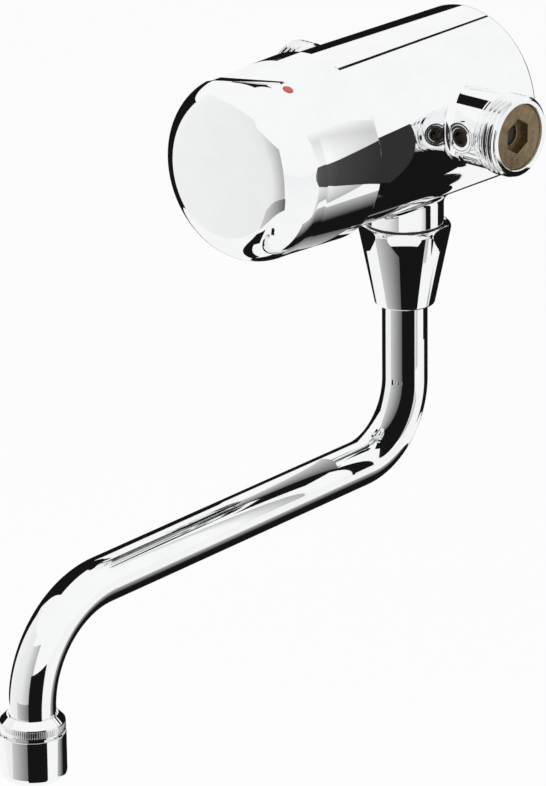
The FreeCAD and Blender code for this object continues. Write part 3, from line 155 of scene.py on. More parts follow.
# %% Floor
FLOOR = -0.46            # metres
PAPER = (0.9, 0.9, 0.9, 1)
OWN_WHITE = 0.9          # share of plain white in what the camera and mirrors see
bpy.ops.mesh.primitive_grid_add(x_subdivisions=4, y_subdivisions=4, size=14, location=(0, 0, FLOOR))
floor = bpy.context.object
floor.name = "studio_floor"
paper, tree, shader = new_material("white_paper")
grain = add_node(tree, "TexNoise", Scale=900.0, Detail=2.0)
fill(tree, shader, "Base Color", PAPER)
fill(tree, shader, "Roughness", 0.9)
raise_skin(tree, shader, 0.05, 0.0005, (grain, "Fac"))
glow = add_node(tree, "Emission", Color=WHITE, Strength=1.0)
share = reckon(tree, "MULTIPLY", seen_or_mirrored(tree), OWN_WHITE)
blend = add_node(tree, "MixShader")
for i, given in enumerate((share, shader, glow)):
    fill(tree, blend, i, (given, 0))
fill(tree, tree.nodes["Material Output"], "Surface", (blend, 0))
floor.data.materials.append(paper)
print("floor at", FLOOR, "m")

# %% [markdown]
# ## The cards
# A card is a bent or flat sheet with plain emission, black, grey or running from one grey to
# another. Only reflections see it. Panels painted into the world would do the same from far away,
# but cards can stand where one piece mirrors them and the next does not.

# %% Card helpers
def card_material(name, near, far=None):
    """Plain emission for a card; with two levels it runs from one end of the card to the other."""
    material = bpy.data.materials.new(name)
    material.use_nodes = True
    tree = material.node_tree
    tree.nodes.clear()
    glow = add_node(tree, "Emission", Color=(near, near, near, 1), Strength=1.0)
    add_node(tree, "OutputMaterial", Surface=(glow, 0))
    if far is not None:
        spread = add_node(tree, "UVMap", {"uv_map": "UVMap"})
        split = add_node(tree, "SeparateXYZ", Vector=(spread, "UV"))
        ramp = add_node(tree, "MapRange", Value=(split, "X"), To_Min=near, To_Max=far)
        fill(tree, glow, "Color", (ramp, "Result"))
    return material


def hang_card(name, material, spots, faces=((0, 1, 2, 3),), spread=None):
    """Makes a card of spots in metres; spread gives each spot its place on the card, 0 to 1."""
    mesh = bpy.data.meshes.new(name)
    mesh.from_pydata(spots, [], faces)
    if spread:
        layer = mesh.uv_layers.new(name="UVMap")
        for loop in mesh.loops:
            layer.data[loop.index].uv = (spread[loop.vertex_index], 0)
    mesh.materials.append(material)
    card = bpy.data.objects.new(name, mesh)
    bpy.context.scene.collection.objects.link(card)
    for rays in ("camera", "diffuse", "shadow", "transmission"):
        setattr(card, "visible_" + rays, False)


def strip_card(name, material, rungs):
    """A card of upright rungs, each (x, y, lower end, upper end, place on the card)."""
    spots = [(x, y, z) for x, y, *ends, _ in rungs for z in ends]
    faces = [(2 * i, 2 * i + 2, 2 * i + 3, 2 * i + 1) for i in range(len(rungs) - 1)]
    hang_card(name, material, spots, faces, [place for *_, place in rungs for _ in range(2)])


# %% [markdown]
# The large cards are bent round an upright line. Far ones go round the whole mixer: they make its
# dark edges and the soft greys of the button. Four stand only 3 cm from the riser, the nut and the
# spout's end and give these their dark bands. A far card would do so too, but the button would
# show it as a black patch.

# %% Standing cards
CAMERA_TURN = -49.4      # degrees round Z from +X to the camera
CARD_STEP = 4            # degrees between two rungs
MIXER_MIDDLE = (0.0, -0.1)
RISER_MIDDLE = (0.0, -0.0313)
SPOUT_END_MIDDLE = (0.0, -0.2076)
CLOSE = 0.03             # metres


def stand_card(name, material, reach, start, end, low, high, middle=MIXER_MIDDLE):
    """A curved card; its angles are degrees from the camera, positive to the picture's right."""
    steps = max(2, int(abs(end - start) / CARD_STEP))
    rungs = []
    for i in range(steps + 1):
        turn = radians(CAMERA_TURN + start + (end - start) * i / steps)
        x, y = middle[0] + reach * cos(turn), middle[1] + reach * sin(turn)
        rungs.append((x, y, low, high, i / steps))
    strip_card(name, material, rungs)


black_card = card_material("black_card", 0.008)
grey_card = card_material("grey_card", 0.62, 0.12)
pale_card = card_material("pale_card", 0.96, 0.86)
soft_card = card_material("soft_card", 0.86, 0.46)
for row in (("flag_behind", black_card, 0.8, 116, 243, -0.455, 0.2),
            ("shade_front_left", grey_card, 0.6, -66, -12, -0.42, -0.27),
            ("shade_left", pale_card, 0.64, -116, -50, -0.42, 0.35),
            ("shade_above_left", soft_card, 0.6, -50, -14, -0.27, 0.2),
            ("flag_by_riser", black_card, CLOSE, -12, 45, -0.115, -0.046, RISER_MIDDLE),
            ("shade_by_nut", grey_card, CLOSE, -66, -12, -0.098, -0.046, RISER_MIDDLE),
            ("flag_behind_nut", black_card, CLOSE, 95, 150, -0.085, -0.046, RISER_MIDDLE),
            ("flag_by_spout_end", black_card, CLOSE, -12, 45, -0.195, -0.135, SPOUT_END_MIDDLE)):
    stand_card(*row)
print("four far and four close cards stand")

# %% [markdown]
# The rest are small or lie flat. One lies under the mixer and darkens the underside of the body,
# fading towards the right. Two stand beside and under the right neck: the first puts a dark tongue
# on the body's side. One shades the button's side, two lie beside and over the spout's run for the
# dark lines along it, and two hang above, for the line along the body and the top of the neck.

# %% Small cards
fading_card = card_material("fading_card", 0.008, 0.5)
UNDER, ABOVE, RUN_SIDE, RUN_TOP = -0.29, 0.15, -0.03, -0.09
hang_card("dark_under", fading_card,
          [(-0.34, 0.4, UNDER), (-0.34, 0.26, UNDER), (-0.14, -0.03, UNDER), (0.07, -0.03, UNDER),
           (0.1, 0.255, UNDER), (-0.08, 0.255, UNDER), (-0.25, 0.345, UNDER),
           (0.2, -0.03, UNDER), (0.23, 0.26, UNDER)],
          [(0, 1, 2, 5, 6), (2, 3, 4, 5), (4, 3, 7, 8)],
          [0, 0, 0, 0, 0, 0, 0, 1, 1])
strip_card("dark_beside_neck", fading_card,
           [(0.042, -0.046, -0.028, 0.012, 0.05), (0.047, -0.062, -0.02, 0.010, 0.05),
            (0.051, -0.077, -0.014, 0.006, 0.1), (0.053, -0.083, -0.010, 0.005, 0.18),
            (0.0545, -0.0895, -0.004, 0.0, 0.4)])
hang_card("strip_above", black_card, [(-0.122, 0.35, 0.427), (-0.154, 0.35, 0.414),
                                      (-0.202, 0.46, 0.375), (-0.181, 0.46, 0.386)])
hang_card("flag_above_neck", black_card, [(-0.13, -0.075, ABOVE), (-0.04, -0.075, ABOVE),
                                          (-0.04, 0.02, ABOVE), (-0.13, 0.02, ABOVE)])
hang_card("dark_under_neck", black_card, [(0.032, -0.02, -0.062), (0.064, -0.02, -0.062),
                                          (0.07, -0.02, -0.012), (0.032, -0.02, -0.012)])
hang_card("shade_beside_button", card_material("side_card", 0.45, 0.97),
          [(0.1, -0.003, -0.12), (0.1, -0.036, -0.12), (0.1, -0.036, 0.02), (0.1, -0.003, 0.02),
           (0.1, -0.036, 0.075), (0.1, -0.003, 0.075)],
          [(0, 1, 2, 3), (3, 2, 4, 5)], [0, 1, 1, 0.15, 1, 1])
hang_card("dark_beside_run", black_card,
          [(RUN_SIDE, -0.2, -0.122), (RUN_SIDE, -0.09, -0.122), (RUN_SIDE, -0.09, -0.088),
           (RUN_SIDE, -0.2, -0.088)])
hang_card("dark_over_run", black_card,
          [(RUN_SIDE, -0.2, RUN_TOP), (-0.006, -0.2, RUN_TOP), (-0.006, -0.155, RUN_TOP),
           (RUN_SIDE, -0.155, RUN_TOP)])
print("eight small cards hang")

# %% [markdown]
# ## Lamps
# Two large soft lamps give the matt pieces and the floor their shape. They are kept out of the
# reflections, because the white world already fills them.

# %% Lamps
def soft_lamp(name, place, size, power):
    """A round area lamp aimed at the middle of the mixer."""
    lamp = bpy.data.lights.new(name, "AREA")
    lamp.shape = "DISK"
    lamp.size = size
    lamp.energy = power
    holder = bpy.data.objects.new(name, lamp)
    bpy.context.scene.collection.objects.link(holder)
    holder.location = place
    aim = Vector((*MIXER_MIDDLE, -0.05)) - Vector(place)
    holder.rotation_euler = aim.to_track_quat("-Z", "Y").to_euler()
    holder.visible_glossy = False


soft_lamp("key_lamp", (-0.9, -1.2, 1.6), 0.9, 22)
soft_lamp("fill_lamp", (1.5, 0.2, 1.2), 1.1, 9)
print("two lamps hung")

# %% [markdown]
# ## Effects that several finishes share
# Three shader node groups. The first gives polished metal its faint smudges and hair scratches,
# the second gives a turned face its fine rings round an axis, and the third mottles a surface,
# as tarnish, lime or moulding does. They put out only numbers that change over the surface; each
# material decides what to do with them.

# %% Node groups
def new_group(name, inputs, outputs):
    """A shader node group with float or vector sockets; returns it with its two end nodes."""
    group = bpy.data.node_groups.new(name, "ShaderNodeTree")
    for word, default in inputs.items():
        kind = "NodeSocketVector" if isinstance(default, tuple) else "NodeSocketFloat"
        group.interface.new_socket(word, in_out="INPUT", socket_type=kind).default_value = default
    for word in outputs:
        group.interface.new_socket(word, in_out="OUTPUT", socket_type="NodeSocketFloat")
    start, end = (group.nodes.new("NodeGroup" + word) for word in ("Input", "Output"))
    start.location, end.location = (-1200, 0), (600, 0)
    return group, start, end


tree, start, end = new_group("handled_polish", {
    "Roughness": 0.03, "Smudge": 0.03, "Scratch": 0.02, "Scale": 60.0}, ("Roughness", "Height"))
place = add_node(tree, "TexCoord")
smear = add_node(tree, "TexNoise", Vector=(place, "Object"),
                 Scale=(start, "Scale"), Detail=5.0, Roughness=0.6)
smear_mask = add_node(tree, "MapRange", Value=(smear, "Fac"), From_Min=0.45, From_Max=0.8)
stretched = add_node(tree, "Mapping", Vector=(place, "Object"),
                     Rotation=(0.4, 0.9, 0.3), Scale=(2600.0, 70.0, 240.0))
hair = add_node(tree, "TexNoise", Vector=(stretched, "Vector"), Scale=1.0, Detail=3.0)
hair_mask = add_node(tree, "MapRange", Value=(hair, "Fac"), From_Min=0.62, From_Max=0.78)
smudged = reckon(tree, "MULTIPLY", (smear_mask, "Result"), (start, "Smudge"))
scratched = reckon(tree, "MULTIPLY", (hair_mask, "Result"), (start, "Scratch"))
both = reckon(tree, "ADD", (smudged, 0), (scratched, 0))
total = reckon(tree, "ADD", (both, 0), (start, "Roughness"))
fill(tree, end, "Roughness", (total, 0))
fill(tree, end, "Height", (hair_mask, "Result"))
handled_polish = tree

tree, start, end = new_group("turned_rings", {
    "Centre": (0.0, 0.0, 0.0), "Across": (1.0, 1.0, 1.0), "Fineness": 2500.0}, ("Rings",))
place = add_node(tree, "TexCoord")
away = reckon(tree, "SUBTRACT", (place, "Object"), (start, "Centre"), kind="VectorMath")
flat = reckon(tree, "MULTIPLY", (away, 0), (start, "Across"), kind="VectorMath")
reach = reckon(tree, "LENGTH", (flat, 0), kind="VectorMath")
count = reckon(tree, "MULTIPLY", (reach, "Value"), (start, "Fineness"))
lathe_marks = add_node(tree, "TexNoise",
                       {"noise_dimensions": "1D"}, W=(count, 0), Scale=1.0, Detail=2.0)
fill(tree, end, "Rings", (lathe_marks, "Fac"))
turned_rings = tree

tree, start, end = new_group("mottle", {"Scale": 80.0, "Low": 0.4, "High": 0.7}, ("Mask",))
place = add_node(tree, "TexCoord")
patches = add_node(tree, "TexNoise", Vector=(place, "Object"),
                   Scale=(start, "Scale"), Detail=6.0, Roughness=0.65)
spread = add_node(tree, "MapRange", Value=(patches, "Fac"),
                  From_Min=(start, "Low"), From_Max=(start, "High"))
fill(tree, end, "Mask", (spread, "Result"))
mottle = tree
print("groups:", [group.name for group in bpy.data.node_groups])

# %% [markdown]
# ## Finishes
# Each finish is one function or a few lines: a colour that drifts a little, a roughness that
# comes from the shared groups, and a shallow bump. Chrome is nearly colourless and very smooth;
# what shows on it is the studio, so its bump has to stay tiny or the reflections break up.

# %% Metal finishes
def use_group(tree, group, **sockets):
    """Places a group in a material with its own values."""
    return add_node(tree, "Group", {"node_tree": group}, **sockets)


def two_tone(tree, mask, first, second):
    """A colour that runs from one to the other by a mask."""
    mixed = add_node(tree, "Mix", {"data_type": "RGBA"})
    for socket, given in ((0, mask), (6, (*first, 1)), (7, (*second, 1))):
        fill(tree, mixed, socket, given)
    return mixed


def metal(name, light, dark, roughness, smudge, scratch, bump=0.02, patch=90.0, rings=None):
    """A metal with mottled colour, handled polish and, where it was turned, fine rings."""
    material, tree, shader = new_material(name)
    fill(tree, shader, "Metallic", 1.0)
    worn = use_group(tree, mottle, Scale=patch)
    fill(tree, shader, "Base Color", (two_tone(tree, (worn, "Mask"), light, dark), 2))
    polish = use_group(tree, handled_polish, Roughness=roughness, Smudge=smudge, Scratch=scratch)
    rough, height = (polish, "Roughness"), (polish, "Height")
    if rings:
        centre, across, fineness, depth = rings
        marks = use_group(tree, turned_rings, Centre=centre, Across=across, Fineness=fineness)
        height = (marks, "Rings")
        rough = (reckon(tree, "MULTIPLY_ADD", height, depth, rough), 0)
    fill(tree, shader, "Roughness", rough)
    raise_skin(tree, shader, bump, 0.0002, height)
    return material


NECK_CENTRE, ACROSS_X = (0.0, -0.0313, 0.002), (0.0, 1.0, 1.0)
finishes = {
    "chromed_brass": metal("polished_chrome", (0.93, 0.935, 0.94), (0.9, 0.905, 0.915),
                           0.025, 0.02, 0.03, bump=0.004),
    "plain_brass": metal("drawn_brass", (0.72, 0.54, 0.29), (0.55, 0.4, 0.2), 0.28, 0.1, 0.1),
    "steel": metal("stainless_steel", (0.62, 0.61, 0.6), (0.5, 0.49, 0.48), 0.22, 0.1, 0.12),
    "spring_steel": metal("spring_wire", (0.5, 0.5, 0.5), (0.38, 0.37, 0.36), 0.3, 0.08, 0.2),
}
turned_brass = metal("turned_brass", (0.3, 0.225, 0.134), (0.185, 0.138, 0.082), 0.34, 0.12, 0.1,
                     bump=0.25, patch=420.0, rings=(NECK_CENTRE, ACROSS_X, 5200.0, 0.2))
# painted shade: an almost black brass for the pieces that only show at the bottom of a hole
painted_shade_brass = metal("painted_shade_brass", (0.09, 0.07, 0.045), (0.05, 0.04, 0.028), 0.45, 0.1, 0.1,
                        patch=300.0)
turned_chrome = metal("faced_chrome", (0.93, 0.935, 0.94), (0.88, 0.885, 0.895), 0.05, 0.02, 0.03,
                      bump=0.03, rings=(NECK_CENTRE, ACROSS_X, 6000.0, 0.06))
print("metals:", ", ".join(finishes))

# %% [markdown]
# ## Rubber, plastic, ceramic and the red spot
# The hidden pieces are finished as well, because the part may be taken apart or cut open. Rubber
# is dark and dull with a fine grain, moulded plastic has a slight mottle and an orange-peel
# skin, the ceramic discs are lapped almost to a mirror, and the spot is stove enamel. Three brass
# pieces that only show at the bottom of a hole get an almost black brass, as painted shade of the
# hole.

# %% Other finishes
def moulded(name, light, dark, roughness, spread, grain, bump, coat=0.0):
    """A non-metal with mottled colour and roughness and a grained skin."""
    material, tree, shader = new_material(name)
    worn = use_group(tree, mottle, Scale=130.0, Low=0.35, High=0.7)
    fill(tree, shader, "Base Color", (two_tone(tree, (worn, "Mask"), light, dark), 2))
    rough = reckon(tree, "MULTIPLY_ADD", (worn, "Mask"), spread, roughness)
    fill(tree, shader, "Roughness", (rough, 0))
    skin = add_node(tree, "TexNoise", Scale=grain, Detail=3.0)
    raise_skin(tree, shader, bump, 0.0001, (skin, "Fac"))
    fill(tree, shader, "Coat Weight", coat)
    return material


MOULDED = {     # material slot: name, two colours, roughness, its spread, grain, bump and coat
    "black_rubber": ("nitrile_rubber", (0.018, 0.018, 0.019), (0.035, 0.034, 0.034),
                     0.6, 0.2, 5000.0, 0.3),
    "light_plastic": ("acetal_white", (0.72, 0.71, 0.68), (0.66, 0.65, 0.61),
                      0.32, 0.12, 3500.0, 0.15),
    "dark_plastic": ("acetal_black", (0.03, 0.03, 0.032), (0.05, 0.05, 0.052),
                     0.38, 0.14, 3500.0, 0.2),
    "washer_plastic": ("washer_fibre", (0.42, 0.2, 0.12), (0.34, 0.16, 0.1),
                       0.62, 0.18, 2600.0, 0.4),
    "ceramic": ("lapped_ceramic", (0.8, 0.79, 0.76), (0.75, 0.74, 0.71), 0.12, 0.08, 6000.0, 0.04),
    "red_enamel": ("red_enamel", (0.6, 0.065, 0.04), (0.5, 0.05, 0.03),
                   0.24, 0.12, 4000.0, 0.12, 0.3),
}
# pieces at the bottom of a hole, darkened with painted shade
SHADED_IN_HOLES = ("outlet_nipple", "stop_valve_plug_left", "stop_valve_plug_right")
finishes.update({slot: moulded(*row) for slot, row in MOULDED.items()})
slot_of = {row["node"]: row["material_slot"] for row in frame["record"]["subparts"]}
for name, node in frame["nodes"].items():
    node.data.materials.clear()
    node.data.materials.append(painted_shade_brass if name in SHADED_IN_HOLES else finishes[slot_of[name]])
print("every loaded piece has a finish:", len(slot_of))

# %% [markdown]
# ## Shaping helpers
# Nearly every piece of a tap is turned, so the main helper sweeps an outline about an axis. An
# outline is a closed row of corners, each a radius and a station along the axis in millimetres; a
# third number rounds the corner. A Screw modifier would do the same for plain outlines, but here
# a radius may also change with the angle, which gives threads, hexagons and ribs with clean edges.

# %% Frames of the mixer
PORT_SETBACK = 31.3      # mm from the wall to the inlets and the riser
INLET_RISE = 2.0
VALVE_OFFSET = 34.6
SPOUT_REACH = 176.3
RIGHT, BACK, FRONT, UP, DOWN = (1, 0, 0), (0, 1, 0), (0, -1, 0), (0, 0, 1), (0, 0, -1)


def axes_of(*parts):
    """Origin, direction at angle 0, direction at angle 90 and axis, as vectors."""
    return tuple(Vector(part) for part in parts)


FRAMES = {"front": axes_of((0, 0, 0), RIGHT, UP, FRONT),
          "down": axes_of((0, -PORT_SETBACK, 0), RIGHT, BACK, DOWN),
          "outlet": axes_of((0, -PORT_SETBACK - SPOUT_REACH, 0), RIGHT, BACK, DOWN)}
for side, sign in (("right", 1), ("left", -1)):
    FRAMES[side] = axes_of((0, -PORT_SETBACK, INLET_RISE), UP, BACK, (sign, 0, 0))
    FRAMES[side + "_valve"] = axes_of((sign * VALVE_OFFSET, 0, INLET_RISE), RIGHT, UP, FRONT)


def spot(where, radius, turn, station):
    """A point of a frame, in millimetres."""
    origin, first, second, axis = FRAMES[where]
    return origin + radius * (cos(turn) * first + sin(turn) * second) + station * axis


print("frames:", ", ".join(FRAMES))

# %% [markdown]
# Rounded corners are true arcs, as a lathe leaves them. A Bevel modifier could round them too;
# here an extra row beside each arc keeps the straight faces flat under smooth shading.

# %% Outlines
GUARD = 0.06             # mm from the end of an arc to its extra row


def corner_arc(last, here, following, radius, step):
    """Rounds the corner at here; gives its points with their headings, an extra one at each end."""
    before, after = (last - here).normalized(), (following - here).normalized()
    half = before.angle(after) / 2
    length = radius / math.tan(half)
    middle = here + (before + after).normalized() * radius / sin(half)
    start, end = here + before * length - middle, here + after * length - middle
    sweep = start.angle(end)
    count = max(3, round(math.degrees(sweep) / step))
    path = [(here + before * (length + GUARD), -before)]
    for k in range(count + 1):
        share = sweep * k / count
        spoke = (start * sin(sweep - share) + end * sin(share)) / sin(sweep)
        path.append((middle + spoke, (-before).slerp(after, k / count)))
    return path + [(here + after * (length + GUARD), after)]


def soften(corners, step=9.0):
    """Rounds the corners of a closed outline that carry a radius as their third number."""
    rows = []
    for i, corner in enumerate(corners):
        if len(corner) < 3:
            rows.append(tuple(Vector(corner)))
            continue
        last, here, following = (Vector(corners[k % len(corners)][:2]) for k in (i - 1, i, i + 1))
        rows += [tuple(point) for point, _ in corner_arc(last, here, following, corner[2], step)]
    return rows


def swept(where, rows, columns=192, start=0.0):
    """Sweeps a closed outline once round a frame's axis; numbers may be functions of the angle."""
    spots, faces = [], []
    for radius, station in rows:
        for k in range(columns + 1):
            turn = start + tau * k / columns
            r = radius(turn) if callable(radius) else radius
            s = station(turn) if callable(station) else station
            spots.append(spot(where, r, turn, s))
    wide = columns + 1
    for i in range(len(rows)):
        a, b = i * wide, (i + 1) % len(rows) * wide
        faces += [(a + k, a + k + 1, b + k + 1, b + k) for k in range(columns)]
    return spots, faces


def ring_faces(count, wide, closed=False):
    """Faces between neighbouring rings of points; closed joins the last ring to the first."""
    return [(i * wide + k, i * wide + (k + 1) % wide,
             (i + 1) % count * wide + (k + 1) % wide, (i + 1) % count * wide + k)
            for i in range(count if closed else count - 1) for k in range(wide)]


# %% From points to pieces
def rough_piece(name, spots, faces):
    """An object from points in millimetres, with its doubled points merged."""
    mesh = bpy.data.meshes.new(name)
    mesh.from_pydata([Vector(point) * MM for point in spots], [], faces)
    work = bmesh.new()
    work.from_mesh(mesh)
    bmesh.ops.remove_doubles(work, verts=work.verts, dist=4e-7)
    bmesh.ops.dissolve_degenerate(work, edges=work.edges, dist=1e-7)
    bmesh.ops.recalc_face_normals(work, faces=work.faces)
    work.to_mesh(mesh)
    work.free()
    piece = bpy.data.objects.new(name, mesh)
    bpy.context.scene.collection.objects.link(piece)
    return piece


def carve(piece, cutter, operation="DIFFERENCE"):
    """Cuts one object out of another or adds it, and throws the tool away."""
    modifier = piece.modifiers.new("carve", "BOOLEAN")
    modifier.object = cutter
    modifier.operation = operation
    modifier.solver = "EXACT"
    bpy.context.view_layer.update()
    result = piece.evaluated_get(bpy.context.evaluated_depsgraph_get())
    mesh = bpy.data.meshes.new_from_object(result)
    piece.modifiers.clear()
    old, piece.data = piece.data, mesh
    bpy.data.meshes.remove(old)
    bpy.data.objects.remove(cutter)


def dress(piece, nodes, body="mixer", slot="chromed_brass", material=None, crease=28.0):
    mesh = piece.data
    mesh.shade_smooth()
    mesh.set_sharp_from_angle(angle=radians(crease))
    even = piece.modifiers.new("even_shading", "WEIGHTED_NORMAL")
    even.keep_sharp = True
    mesh.materials.clear()
    mesh.materials.append(material or finishes[slot])
    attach(piece, body)
    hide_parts(*nodes)
    print(piece.name, len(mesh.polygons), "faces")


def turned(name, where, rows, body="mixer", slot="chromed_brass", columns=192, start=0.0,
           material=None):
    """A swept piece that takes the place of the loaded node of the same name."""
    piece = rough_piece(name + "_piece", *swept(where, rows, columns, start))
    dress(piece, [name], body, slot, material)


# %% [markdown]
# ## The cast body
# A brass casting: a round drum with two necks for the inlets, a boss for the outlet and small
# bosses for the stop valves, all run together with soft fillets and polished. Metaballs or a
# voxel remesh would blend them, but would also blur the drum, and the chrome shows every ripple.
# So the drum is a grid of columns and rows, and a window is left in it for each branch. Inside a
# window, rings of points close in on the place where the fillet starts, the fillet is the path
# of a rolling ball of 3 mm, and the branch goes straight on from there.

# %% Sizes of the drum and its branches
DRUM_RADIUS, BACK_ROUND, FILLET = 29.5, 1.2, 3.0
DRUM_OUTLINE = [(0.0, 0.0), (DRUM_RADIUS, 0.0, BACK_ROUND), (DRUM_RADIUS, 79.0, 0.3), (28.4, 79.0),
                (28.4, 86.0, 0.3), (22.95, 86.0), (22.95, 80.0), (20.0, 80.0), (20.0, 44.0),
                (0.0, 44.0)]
DRUM_COLUMNS = 240
WINDOW_HALF = 24                              # columns to each side of a branch's middle
WINDOW_REACH = 20                             # rows, 1 mm apart, before and behind it
WINDOW_ROWS = [PORT_SETBACK - WINDOW_REACH + i for i in range(2 * WINDOW_REACH + 1)]
RING_SHARES = [0.22, 0.42, 0.6, 0.76, 0.9, 0.985]
FILLET_ROWS = 14
NECK_RADIUS, NECK_END = 12.4, 40.2
BOSS_RADIUS, BOSS_END = 12.8, 36.5
BRANCH_BORE = 10.45
BRANCHES = {    # name: (middle column, direction of the columns, offset, radius, end, to point)
    "right_neck": (0, 1, INLET_RISE, NECK_RADIUS, NECK_END, lambda a, s, l: (l, -s, a)),
    "left_neck": (120, -1, INLET_RISE, NECK_RADIUS, NECK_END, lambda a, s, l: (-l, -s, a)),
    "outlet_boss": (180, 1, 0.0, BOSS_RADIUS, BOSS_END, lambda a, s, l: (a, -s, -l)),
}
BRANCH_EDGE = 0.3                             # rounding of a branch's end
SEAT_DEPTH = 1.4                              # seat of the nipple in it
THROAT_RADIUS, THROAT_DEPTH = 8.6, 6.0        # water way behind the seat
print("branches:", ", ".join(BRANCHES))

# %% One line of a branch
def branch_line(turn, offset, radius, end):
    """A line of points from the drum outwards, as (across, station, along)."""
    def beside(reach, out):
        return (offset + reach * sin(turn), PORT_SETBACK + reach * cos(turn), out)

    ball = DRUM_RADIUS + FILLET
    across, station, _ = beside(radius + FILLET, 0)
    along = sqrt(ball ** 2 - across ** 2)
    centre = Vector((across, station, along))
    on_drum = Vector((across, 0, along)) / ball
    on_branch = Vector((sin(turn), cos(turn), 0))
    line = [centre - FILLET * on_drum.slerp(on_branch, k / FILLET_ROWS)
            for k in range(FILLET_ROWS + 1)]
    line.append(beside(radius, along + GUARD))
    straight = end - BRANCH_EDGE - GUARD - along
    line += [beside(radius, along + straight * k / 4) for k in (1, 2, 3, 4)]
    line += [beside(radius - BRANCH_EDGE * (1 - cos(k)), end - BRANCH_EDGE * (1 - sin(k)))
             for k in (0.0, 0.4, 0.8, 1.2, pi / 2)]
    seat, throat = end - SEAT_DEPTH, end - THROAT_DEPTH
    return line + [beside(BRANCH_BORE, end), beside(BRANCH_BORE, seat), beside(THROAT_RADIUS, seat),
                   beside(THROAT_RADIUS, throat), beside(0.0, throat)]


# %% The drum with its windows
def window_columns(first):
    """Columns of all windows, counted from first columns off each window's middle."""
    return {(branch[0] + j) % DRUM_COLUMNS for branch in BRANCHES.values()
            for j in range(first, WINDOW_HALF)}


def drum_grid(rows, low, high):
    """Points and faces of the drum alone, and a map from its row and column to its points."""
    inner, opened = window_columns(1 - WINDOW_HALF), window_columns(-WINDOW_HALF)
    spots, faces, grid = [], [], {}
    for i, (radius, station) in enumerate(rows):
        for k in range(DRUM_COLUMNS):
            if not (low < i < high and k in inner):
                grid[i, k] = len(spots)
                spots.append(spot("front", radius, tau * k / DRUM_COLUMNS, station))
    for i in range(len(rows) - 1):
        for k in range(DRUM_COLUMNS):
            after = (k + 1) % DRUM_COLUMNS
            if not (low <= i < high and k in opened):
                faces.append((grid[i, k], grid[i, after], grid[i + 1, after], grid[i + 1, k]))
    return spots, faces, grid


# %% Branches in the windows
def window_edge(low, high):
    """Rows and columns from the middle, once round the edge of a window."""
    return ([(low, j) for j in range(-WINDOW_HALF, WINDOW_HALF)]
            + [(i, WINDOW_HALF) for i in range(low, high)]
            + [(high, j) for j in range(WINDOW_HALF, -WINDOW_HALF, -1)]
            + [(i, -WINDOW_HALF) for i in range(high, low, -1)])


def cast_body():
    """Points and faces of the drum with its branches, without the valve bosses."""
    rows = soften(DRUM_OUTLINE)
    low = 1 + next(i for i, (radius, station) in enumerate(rows)
                   if radius > DRUM_RADIUS - 0.001 and station > BACK_ROUND + GUARD / 2)
    high = low + len(WINDOW_ROWS) - 1
    rows[low:low] = [(DRUM_RADIUS, station) for station in WINDOW_ROWS]
    spots, faces, grid = drum_grid(rows, low, high)
    for middle, sense, offset, radius, end, place in BRANCHES.values():
        lines = []
        for i, j in window_edge(low, high):
            lean, station = tau * j / DRUM_COLUMNS, rows[i][1]
            turn = math.atan2(DRUM_RADIUS * sin(lean) - offset, station - PORT_SETBACK)
            outward = branch_line(turn, offset, radius, end)
            foot = outward[0]
            foot_lean = math.atan2(foot[0], foot[2])
            rings = []
            for share in RING_SHARES:
                ring_lean = lean + (foot_lean - lean) * share
                rings.append((DRUM_RADIUS * sin(ring_lean), station + (foot[1] - station) * share,
                              DRUM_RADIUS * cos(ring_lean)))
            line = [grid[i, (middle + sense * j) % DRUM_COLUMNS]]
            for corner in rings + outward:
                line.append(len(spots))
                spots.append(place(*corner))
            lines.append(line)
        for here, beside in zip(lines, lines[1:] + lines[:1]):
            faces += [(here[k], beside[k], beside[k + 1], here[k + 1]) for k in range(len(here) - 1)]
    return spots, faces


body_piece = rough_piece("mixer_body_piece", *cast_body())
print("drum and branches:", len(body_piece.data.polygons), "faces")

# %% [markdown]
# The stop-valve bosses stand only 0.6 mm proud of the necks. They are small enough to be joined
# by a boolean, and their seats for the glands are cut the same way.

# %% Valve bosses
VALVE_BOSS = soften([(0, 37.0), (5.3, 37.0), (5.3, 44.3, 0.35), (0, 44.3)])
VALVE_SEAT = [(0, 41.65), (4.45, 41.65), (4.45, 46.0), (0, 46.0)]
for side in ("left", "right"):
    carve(body_piece, rough_piece("boss", *swept(side + "_valve", VALVE_BOSS, 96)), "UNION")
    carve(body_piece, rough_piece("seat", *swept(side + "_valve", VALVE_SEAT, 96)))
dress(body_piece, ["mixer_body"])

# %% [markdown]
# ## Inlets
# Each neck ends in a nipple with an outside pipe thread, about 14 threads to the inch. A thread
# can be made with a Screw modifier on a small profile, but its two ends are then left hanging.
# Here every row of the sweep climbs by one pitch per turn and is held between the ends of the
# thread, so the ridge runs out cleanly in the end face, where a chamfer trims it.

# %% Threaded nipples
PITCH = 1.814
THREAD_START, THREAD_END = 40.7, 49.0
CREST, THREAD_DEPTH, CHAMFER = 13.22, 1.05, 0.75
THREAD_FORM = [0.0, 0.0, 0.04, 0.3, 0.62, 0.92, 1.0, 1.0, 0.92, 0.62, 0.3, 0.04]   # 0 crest, 1 root
STEPS_PER_PITCH = len(THREAD_FORM)


def thread_row(i):
    """Radius and station of one climbing row of the thread, as functions of the angle."""
    def station(turn):
        climbed = THREAD_START - PITCH + PITCH * (i / STEPS_PER_PITCH + turn / tau)
        return min(max(climbed, THREAD_START), THREAD_END)

    def radius(turn):
        s = station(turn)
        phase = ((s - THREAD_START + PITCH) / PITCH - turn / tau) * STEPS_PER_PITCH
        low = math.floor(phase + 1e-6)
        share = phase - low
        here, after = (THREAD_FORM[k % STEPS_PER_PITCH] for k in (low, low + 1))
        sunk = here * (1 - share) + after * share
        runout = min(1.0, (s - THREAD_START) / PITCH)
        ridge = CREST - THREAD_DEPTH * (1 - (1 - sunk) * runout)
        return min(ridge, CREST - CHAMFER + THREAD_END - s)

    return radius, station


